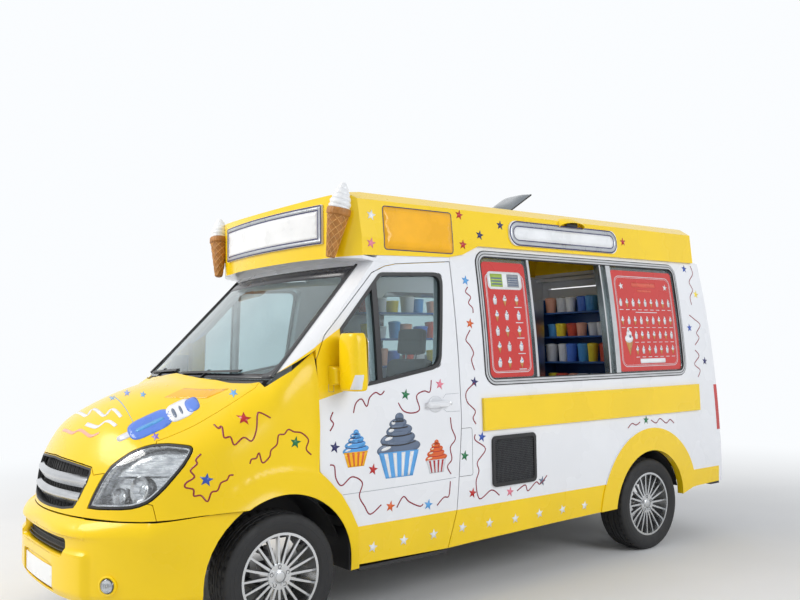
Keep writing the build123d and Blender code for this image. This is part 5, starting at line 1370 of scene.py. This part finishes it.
stick_both("door", "door_lines", [
    ribbon([(1150, 1268), (1172, 1290), (1283, 1292)], 2.2),
    ribbon([(1150, 1198), (1175, 1180), (1283, 1178)], 2.2),
    (rounded(299, 336, 1341, 1388, 6), (rounded(301.5, 333.5, 1343.5, 1385.5, 5),)),
], "grey", lift=0.1, thick=0.3, step=14.0)
# A grey line along the door's crease: painted shade of the crease
crease = on_side(((343, 494.8), (380, 489.6), (420, 483.4), (456, 477.4)), hosts["door"][0])
stick_both("door", "door_crease", [ribbon(crease, 3)], "grey", lift=0.1, thick=0.3, step=20.0)


# Picture on the doors, plain and generic: three soft ices
def soft_ice(cx, cz, size):
    """Rings of a soft ice in a tub: swirl, its shadows, its lights, tub, tub stripes."""
    def at(x, z):
        return cx + x * size, cz + z * size

    swirl = [ellipse(*at(dx, dz), rx * size, rz * size, turn=0.06)
             for dx, dz, rx, rz in ((0, 0, 1.0, 0.30), (-0.04, 0.34, 0.80, 0.27), (0.03, 0.64, 0.60, 0.23),
                                    (-0.02, 0.90, 0.40, 0.19), (0.05, 1.11, 0.20, 0.17))]
    shadows = [ribbon([at(x, z + 0.16 * x * x) for x in np.linspace(-w, w, 9)], 0.05 * size)
               for z, w in ((0.10, 0.78), (0.43, 0.6), (0.72, 0.42), (0.96, 0.26))]
    lights = [ellipse(*at(-0.42 * w, z), 0.16 * size * w, 0.06 * size, 20, 0.2)
              for z, w in ((0.02, 1.4), (0.37, 1.1), (0.66, 0.8), (0.92, 0.55))]
    tub = [at(-0.92, -0.12), at(-0.62, -1.05), at(0.62, -1.05), at(0.92, -0.12)]
    stripes = [[at(x - 0.09, -0.16), at((x - 0.07) * 0.7, -1.02), at((x + 0.07) * 0.7, -1.02), at(x + 0.09, -0.16)]
               for x in (-0.6, -0.2, 0.2, 0.6)]
    return swirl, shadows, lights, [tub], stripes


ICE_LIFTS = (0.4, 0.8, 0.8, 0.9, 1.2)
for label, place, colours in (
    ("large", (790, 985, 165), ("slate", "black", "white", "sky", "white")),
    ("small", (1080, 900, 88), ("orange", "crimson", "cream", "pale", "crimson")),
    ("tall", (475, 1000, 92), ("sky", "navy", "white", "amber", "orange")),
):
    for j, (rings, colour, lift) in enumerate(zip(soft_ice(*place), colours, ICE_LIFTS)):
        stick_both("door", f"door_ice_{label}_{j}", rings, colour, lift=lift, thick=0.3, step=24.0)

# Side windows: black lines round their frames
for (side, way), (a0, a1, z0, z1) in zip(SIDES, ((1526, 3753, 1335, 2230), (2050, 2950, 1480, 2080))):
    def frame_edge(cut):
        return rounded(a0 + cut, a1 - cut, z0 + cut, z1 - cut, max(10, 90 - cut), 10)

    for part, first, last, lift, thick, bevel in (
        ("rubber", -7, 3, 4.0, 0.006, 0.0015), ("line", 14, 19, 7.0, 0.002, 0), ("inner", 31, 39, 6.5, 0.010, 0.001),
    ):
        plate(f"{side}_frame_{part}", frame_edge(first), side_place(way, lift), (way, 0, 0), rubber_black,
              holes=(frame_edge(last),), thick=thick, bevel=bevel)

# Menu boards, with plain repeated items
board_tree = tree_of("side_boards")


def on_board(name, rings, colour, lift=0.5, step=40.0):
    stick("board_" + name, rings, board_tree, colour, "left", lift=lift, thick=0.3, step=step)


on_board("outlines", [
    rim(1600, 1968, 1408, 2085, 46, 5), rim(1610, 1958, 1418, 2075, 38, 2.5),
    rim(2962, 3668, 1412, 2120, 60, 5), rim(2974, 3656, 1424, 2108, 50, 2.5),
], "pale", 0.3)
on_board("top_panel", [rounded(1622, 1946, 1975, 2098, 30)], "white", 0.6)
on_board("green_square", [rounded(1650, 1762, 1992, 2082, 4)], "lime", 1.0)
on_board("grey_square", [rounded(1806, 1918, 1992, 2082, 4)], "grey", 1.0)
on_board("top_lines", [rounded(1658, 1754, z, z + 10, 2) for z in (2006, 2026, 2046)]
         + [rounded(1814, 1910, z, z + 8, 2) for z in (2004, 2020, 2036, 2052)], "slate", 1.4)
swirls, tubs, cones, blue_dots, dark_dots, captions = [], [], [], [], [], []


def put_item(cx, cz, size, kind):
    """A small tub or cone with a swirl and a dot."""
    def at(x, z):
        return cx + size * x, cz + size * z

    swirls.extend(ellipse(*at(x, z), size * rx, size * rz, steps) for x, z, rx, rz, steps in (
        (0, 0.28, 0.46, 0.30, 14), (0.05, 0.62, 0.30, 0.24, 12), (0, 0.90, 0.13, 0.18, 10)))
    if kind % 2:
        cones.append([at(-0.42, 0.12), at(0, -0.95), at(0.42, 0.12)])
    else:
        tubs.append([at(-0.48, 0.10), at(-0.28, -0.62), at(0.28, -0.62), at(0.48, 0.10)])
    (blue_dots if kind % 3 == 0 else dark_dots).append(ellipse(*at(0.16, 0.44), size * 0.12, size * 0.12, 8))


for row in range(5):
    for column, a in enumerate((1672, 1764, 1878)):
        put_item(a + 6 * (row % 2), 1895 - 106 * row, 40, row * 3 + column + (column == 2))
    captions.append(rounded(1850, 1922, 1850 - 106 * row, 1856 - 106 * row, 2))
for row, (z, count, first) in enumerate(((1905, 9, 3010), (1765, 9, 3010), (1650, 7, 3155), (1535, 7, 3155))):
    for column in range(count):
        a = first + column * 76
        put_item(a, z, 38, row + column)
        captions.append(rounded(a - 22, a + 22, z - 52, z - 47, 2))
captions.append(rounded(3180, 3450, 1832, 1838, 2))
put_item(3062, 1600, 108, 1)
on_board("swirls", swirls, "white", 0.9, 24.0)
for name, rings, colour, lift in (
    ("tubs", tubs, "pale", 0.6), ("cones", cones, "tan", 0.6), ("blue_dots", blue_dots, "sky", 1.3),
    ("dark_dots", dark_dots, "slate", 1.3), ("captions", captions, "pale", 0.5),
    ("bar", [rounded(3180, 3500, 1436, 1472, 10)], "white", 0.7),
    ("heading", [rounded(3170, 3470, 2036, 2070, 12), rounded(3230, 3410, 1996, 2014, 8)], "coral", 0.7),
    ("heading_stars", [star(3040, 2040, 30, 8), star(3600, 2040, 30, -8)], "white", 0.8),
):
    on_board(name, rings, colour, lift)

# Vent: rubber round it and a woven mesh
MESH_A, MESH_Z, MESH_GAP = 1578, 690, 12
MESH_COLUMNS, MESH_ROWS = 31, 24
MESH_OUT, MESH_WAVE = 7, 1.6
plate("vent_rubber", rounded(1552, 1960, 665, 998, 34), side_place(1, 15.0), (1, 0, 0), rubber_black,
      holes=(rounded(1576, 1936, 689, 974, 22),), thick=0.006, bevel=0.002)
mesh_grey = finish("mesh_grey", (0.13, 0.135, 0.145), 0.45, metallic=0.3, grain=(40.0, 0.2), dimple=None)


def mesh_point(j, k, wave):
    lift = MESH_OUT + wave * math.cos(math.pi * (j + k))
    return side_place(1, lift)(MESH_A + MESH_GAP * k, MESH_Z + MESH_GAP * j)


parts = [tube([mesh_point(j, k, MESH_WAVE) for j in range(MESH_ROWS)], 0.0026, sides=4, squash=0.5, up=(0, 1, 0))
         for k in range(MESH_COLUMNS)]
parts += [tube([mesh_point(j, k, -MESH_WAVE) for k in range(MESH_COLUMNS)], 0.0026, sides=4, squash=0.5)
          for j in range(MESH_ROWS)]
build("vent_mesh", *merge(parts), mesh_grey)

# Plain panel on the side fascia
one, two, three, four = on_side(((383, 209), (452, 209.5), (452, 252), (383, 252)), hosts["roof"][0])
panel_box = (one[0] + four[0]) / 2, (two[0] + three[0]) / 2, (three[1] + four[1]) / 2, (one[1] + two[1]) / 2
panel_rim = rim(*panel_box, 24, 6)
stick_both("roof", "fascia_panel_line", [panel_rim], "navy")
stick_both("roof", "fascia_panel", [panel_rim[1][0]], "amber", lift=0.3, step=40.0)

# Mirrors: a rounded shell, its arm, glass and a clear lamp
MIRROR_LOW, MIRROR_HIGH = 1348, 1675
SHELL_ROWS, SHELL_SIDES = 30, 56
LAMP_ROWS, LAMP_COLUMNS = 9, 15
LAMP_MIDDLE = math.radians(96)


def mirror_point(way, turn, z, out=0.0):
    """A point of the shell at an angle seen from above, 0 towards the front."""
    share = (z - MIRROR_LOW) / (MIRROR_HIGH - MIRROR_LOW)
    end = max(0.0, 1 - abs(2 * share - 1) ** 7) ** 0.5
    c, s = math.cos(turn), math.sin(turn)
    power = 2 / 3.4
    x = (98 - 12 * share) * (0.80 + 0.20 * end) * math.copysign(abs(s) ** power, s)
    a = -56 * (0.74 + 0.26 * end) * math.copysign(abs(c) ** power, c)
    grow = 1 + out / math.hypot(x, a)
    return P(way * (1106 - 6 * share + x * grow), 392 + a * grow, z)


for side, way in SIDES:
    body = side + "_door"
    vertices = []
    for i in range(SHELL_ROWS + 1):
        z = MIRROR_LOW + (MIRROR_HIGH - MIRROR_LOW) * (0.5 - 0.5 * math.cos(math.pi * i / SHELL_ROWS))
        vertices += [mirror_point(way, turn, z) for turn in turns(SHELL_SIDES)]
    faces = grid(SHELL_ROWS + 1, SHELL_SIDES, False, True) + ends(SHELL_ROWS + 1, SHELL_SIDES)
    build(side + "_mirror_shell", vertices, faces, yellow, body, angle=50, bevel=0.004, segments=3,
          stands=(side + "_mirror", "yellow_paint"))
    arm = [P(way * x, a, z)
           for x, a0, a1, z0, z1 in ((966, 300, 352, 1376, 1496), (1000, 304, 362, 1380, 1490),
                                     (1040, 320, 385, 1388, 1478))
           for a, z in ((a0, z0), (a1, z0), (a1, z1), (a0, z1))]
    build(side + "_mirror_arm", arm, grid(3, 4, False, True) + ends(3, 4), yellow, body, bevel=0.010, segments=4,
          angle=30)
    plate(side + "_mirror_glass", rounded(1030, 1178, 1375, 1652, 34), lambda x, z: P(way * x, 449.5, z), (0, 1, 0),
          bright_trim, step=60.0, bevel=0.001, body=body)
    lens = []
    for i in range(LAMP_ROWS):
        z = 1358 + 82 * i / (LAMP_ROWS - 1)
        for j in range(LAMP_COLUMNS):
            turn = LAMP_MIDDLE - (LAMP_MIDDLE - math.radians(12 + 76 * j / (LAMP_COLUMNS - 1))) * (1 - 0.055 * i)
            lens.append(mirror_point(way, way * turn, z, 1.6))
    build(side + "_mirror_lamp", lens, grid(LAMP_ROWS, LAMP_COLUMNS), sticker("pale"), body, out=(way, -1, 0),
          thick=0.003, bevel=0.0008)

# Windscreen: black surround, whose deep top band is black frit and painted shade under the roof's brow, and rubbers at
# its sides
screen_tree = tree_of("windscreen")
surround = [(893, 1424), (802, 2097), (-802, 2097), (-893, 1424)]
clear = round_ring([(862, 1452), (786, 2028), (-786, 2028), (-862, 1452)], (60, 60, 60, 60))
# Black frit round the glass; the top band, deeper than the sides, is also painted shade under the roof's brow
stick("screen_surround_and_brow_shade", [(surround, (clear,))], screen_tree, "black", "front", lift=0.3, thick=0.6, step=40.0)
for side, way in SIDES:
    line = [screen_tree.find_nearest(P(x, -30 + (z - 1415), z))[0] + Vector((0, -0.006, 0.004))
            for x, z in spline([(way * 897, 1432), (way * 851, 1770), (way * 806, 2090)], 8)]
    build(side + "_screen_rubber", *tube(line, 0.009, sides=8), rubber_black)

# Seats: base, back and head cushions with sewn channels and piping, on plinths
ROUNDNESS = 7
CHANNEL_DEEP, CHANNEL_WIDE = 0.16, 0.028


def pull_in(u, v):
    """A cushion's sides, drawn in between its corners."""
    return u * (1 - 0.035 * (1 - v * v)), v * (1 - 0.03 * (1 - u * u))


def cushion(name, centre, ways, halves, channels, crown=0.3, count=26, **more):
    """A crowned closed form: ways are its width, length and thickness, channels lines across its length."""
    found, vertices, faces = {}, [], []

    def corner(point):
        key = tuple(round(value, 6) for value in point)
        if key not in found:
            p = np.array(point)
            p = p / (np.abs(p) ** ROUNDNESS).sum() ** (1 / ROUNDNESS)
            u, v = pull_in(p[0], p[1])
            w = p[2] * (1 - crown * max(abs(p[0]), abs(p[1])) ** 5)
            if w > 0:
                for line in channels:
                    w -= CHANNEL_DEEP * math.exp(-(((v - line) / CHANNEL_WIDE) ** 2)) * (1 - abs(u) ** 8)
            found[key] = len(vertices)
            vertices.append(centre + sum((way * half * value for way, half, value in zip(ways, halves, (u, v, w))),
                                         Vector((0, 0, 0))))
        return found[key]

    for axis in range(3):
        one, two = (axis + 1) % 3, (axis + 2) % 3
        for sign_of_face in (-1, 1):
            for i in range(count):
                for j in range(count):
                    square = []
                    for di, dj in ((0, 0), (1, 0), (1, 1), (0, 1)):
                        point = [0.0, 0.0, 0.0]
                        point[axis] = sign_of_face
                        point[one] = -1 + 2 * (i + di) / count
                        point[two] = -1 + 2 * (j + dj) / count
                        square.append(corner(point))
                    faces.append(tuple(square if sign_of_face > 0 else square[::-1]))
    made = build(name, vertices, faces, fabric, angle=80, **more)
    piping = []
    for t in turns(64):
        u, v = math.cos(t), math.sin(t)
        scale = (abs(u) ** ROUNDNESS + abs(v) ** ROUNDNESS) ** (-1 / ROUNDNESS)
        u, v = pull_in(u * scale, v * scale)
        piping.append(centre + ways[0] * halves[0] * u + ways[1] * halves[1] * v)
    build(name + "_piping", *tube(piping, 0.0045, closed=True, sides=8, up=ways[2]), rubber_black)


def slab(name, box, material, **more):
    """A board between x, station and height limits."""
    build(name, *block(*box), material, **{"bevel": 0.004, **more})


SEAT_WAYS = [Vector(way).normalized() for way in ((1, 0, 0), (0, 0.999, -0.05), (0, 0.05, 0.999))]
BACK_WAYS = (Vector((-1, 0, 0)), Vector((0, 0.10, 0.995)).normalized(), Vector((0, -0.995, 0.10)))
for side, way in SIDES:
    x = way * 430
    cushion(side + "_seat_base", P(x, 1045, 862), SEAT_WAYS, (0.236, 0.182, 0.062), (-0.35, 0.05, 0.45),
            stands=("seats", "seat_fabric") if side == "left" else None)
    cushion(side + "_seat_back", P(x, 1300, 1190), BACK_WAYS, (0.236, 0.325, 0.066), (-0.5, -0.15, 0.2, 0.55))
    cushion(side + "_head_rest", P(x, 1345, 1628), BACK_WAYS, (0.135, 0.088, 0.043), (0.0,), count=18)
    for k, dx in enumerate((-55, 55)):
        post = [P(x + dx, 1330, 1490), P(x + dx, 1338, 1545), P(x + dx, 1345, 1600)]
        build(f"{side}_rest_post_{k}", *tube(post, 0.006), steel)
    slab(side + "_seat_plinth", (x - 195, x + 195, 905, 1295, 480, 797), dark_metal, bevel=0.012, segments=3)
    shell = [P(x - 200, 1345, 850), P(x + 200, 1345, 850), P(x + 200, 1372, 1440), P(x - 200, 1372, 1440)]
    build(side + "_seat_shell", shell, [(0, 1, 2, 3)], grey_plastic, thick=0.008, bevel=0.003)

# Shelves, tubs and cups seen through the serving window, plain and generic
TUB_COLOURS = ("sky", "white", "rose", "lemon", "cornflower", "pale", "coral")
# Shares of a tub's width and height
TUB = ((0, 0), (0.80, 0), (0.84, None), (1, 0.86), (1.06, 0.87), (1.06, 0.93), (0.98, 0.96), (0.7, 1), (0, 1.01))
TUB_BASE_EDGE = 0.004
ALMOST_NONE = 0.0005


def stand_tub(name, at, tall, wide, colour):
    """A lidded tub."""
    profile = [(wide * share or ALMOST_NONE, TUB_BASE_EDGE if rise is None else tall * rise) for share, rise in TUB]
    build(name, *lathe(profile, at, (0, 0, 1), 24), sticker(TUB_COLOURS[colour % len(TUB_COLOURS)]), angle=40)


for k, z in enumerate((1430, 1660, 1880)):
    slab(f"shelf_{k}", (-905, -640, 1700, 2740, z - 9, z + 9), laminate)
    for j in range(7):
        stand_tub(f"tub_{k}_{j}", P(-770 + 30 * ((j + k) % 2), 1790 + 143 * j, z + 10),
                  0.105 + 0.02 * ((j * 5 + k) % 3), 0.052 + 0.006 * ((j + k) % 3), 2 * j + 3 * k)
slab("rack_back", (-450, 450, 3762, 3776, 500, 2010), laminate)
for k, x in enumerate((-450, 434)):
    slab(f"rack_side_{k}", (x, x + 16, 3540, 3762, 500, 2010), laminate)
for k, z in enumerate((900, 1180, 1430, 1660, 1880)):
    slab(f"rack_shelf_{k}", (-432, 432, 3545, 3760, z - 8, z + 8), laminate)
    for j in range(7):
        stand_tub(f"rack_tub_{k}_{j}", P(-366 + 122 * j, 3640 + 22 * ((j + k) % 2), z + 9),
                  0.12 + 0.022 * ((j * 3 + k) % 3), 0.048 + 0.005 * ((j + k) % 3), 3 * j + 2 * k + 1)
CUP_RISE = 0.036
stack = [(ALMOST_NONE, 0.0)]
for j in range(9):
    stack += [(0.040, 0.010 + CUP_RISE * j), (0.047, 0.020 + CUP_RISE * j), (0.047, 0.028 + CUP_RISE * j)]
stack += [(0.030, 0.345), (ALMOST_NONE, 0.350)]
for k, (a, colour) in enumerate(((1740, "pale"), (1850, "sky"))):
    build(f"cup_stack_{k}", *lathe(stack, P(700, a, 1322), (0, 0, 1), 28), sticker(colour), angle=40)

# Lines of the fuel flap and of the strip under the hatch, and liners behind the front wheels
stick("left_fuel_flap_line", [rim(1250, 1386, 762, 1068, 16, 3.0)], hosts["side"][0], "line", "left", lift=0.1,
      thick=0.4, step=20.0)
stick("strip_lines", [rim(1487, 3888, 1046, 1242, 6, 4)], board_tree, "lemon", "left", lift=0.2, thick=0.4, step=60.0)
for side, way in SIDES:
    slab(side + "_liner_skirt", (*sorted((way * 560, way * 935)), 462, 474, 300, 540), black_plastic)

# Closing panels between the rear frame and the roof cap
slab("rear_joint_flat", (-880, 880, 3960, 4096, 2257, 2267), white)
slab("rear_joint_wall", (-880, 880, 3972, 3990, 2262, 2302), white)

# Rear: divisions of the lamps, and the handle
lamp_back = tree_of("tail_lamps")
for side, way in SIDES:
    low, high = sorted((way * 850, way * 1000))
    for colour, z0, z1 in (("orange", 1146, 1232), ("pale", 868, 938)):
        stick(f"{side}_tail_{colour}", [rounded(low + 8, high - 12, z0, z1, 10)], lamp_back, colour, "back",
              lift=0.6, thick=0.8)
    stick(side + "_tail_lines", [rounded(low + 4, high - 8, z, z + 5, 1) for z in (940, 1040, 1140)], lamp_back,
          "black", "back", lift=0.6, thick=0.6, step=20.0)
handle_at = tree_of("left_rear_door").ray_cast(P(70, 4600, 1180), Vector((0, -1, 0)))[0]
line = [handle_at + Vector((0, y / 1000, z / 1000))
        for y, z in ((-3, -92), (22, -86), (28, -60), (28, 60), (22, 86), (-3, 92))]
build("rear_handle", *tube(spline(line, 5), 0.010, sides=12, up=(1, 0, 0)), black_plastic, "left_rear_door")


# Light and floor
def area_light(name, at, aim, size, power, colour=(1, 1, 1)):
    data = bpy.data.lights.new(name, "AREA")
    data.shape = "DISK"
    data.size = size
    data.energy = power
    data.color = colour
    lamp = bpy.data.objects.new(name, data)
    lamp.location = at
    lamp.rotation_euler = (Vector(aim) - Vector(at)).to_track_quat("-Z", "Y").to_euler()
    scene.collection.objects.link(lamp)


area_light("key", (-3.5, -8.5, 8.0), (0, -0.5, 1), 7.0, 900, (1, 0.98, 0.94))
area_light("fill", (8.5, 1.5, 5.0), (0, 0, 1.2), 5.0, 330, (0.94, 0.97, 1))
area_light("inside", (0, 1.0, 2.2), (-0.6, 1.0, 1), 0.7, 5)


def seen_rays(owner):
    """1 for what the camera sees, also in gloss and through glass."""
    rays = add_node(owner, "LightPath", {})
    return calc(owner, "MAXIMUM", rays["Is Camera Ray"],
                calc(owner, "MAXIMUM", rays["Is Glossy Ray"], rays["Is Transmission Ray"]))


SKY = (0.96, 0.98, 1, 1)
FADE_FROM, FADE_TO = 2.6, 9.0
world = bpy.data.worlds.new("studio")
scene.world = world
world.use_nodes = True
background = world.node_tree.nodes["Background"]
background.inputs["Color"].default_value = SKY
world.node_tree.links.new(ramp(world, seen_rays(world), 0.5, 1.0, 0, 1), background.inputs["Strength"])
scene.view_settings.view_transform = "Standard"

bpy.ops.mesh.primitive_plane_add(size=120)
floor = bpy.context.active_object
floor.name = "studio_floor"
ground, shader = new_material("studio_floor")
dress((ground, shader), 0.6, (0.80, 0.80, 0.805), (0.84, 0.84, 0.845), {"Roughness": 0.8})
where = add_node(ground, "TexCoord", {})["Object"]
away = add_node(ground, "VectorMath", {0: where}, operation="LENGTH")["Value"]
fade = ramp(ground, away, 0, 1, FADE_FROM, FADE_TO, interpolation_type="SMOOTHSTEP")
pale = add_node(ground, "Emission", {"Color": SKY})[0]
far = calc(ground, "MULTIPLY", fade, seen_rays(ground))
blend = add_node(ground, "MixShader", {0: far, 1: shader.outputs[0], 2: pale})[0]
output = next(node for node in ground.node_tree.nodes if node.bl_idname == "ShaderNodeOutputMaterial")
ground.node_tree.links.new(blend, output.inputs["Surface"])
floor.data.materials.append(ground)
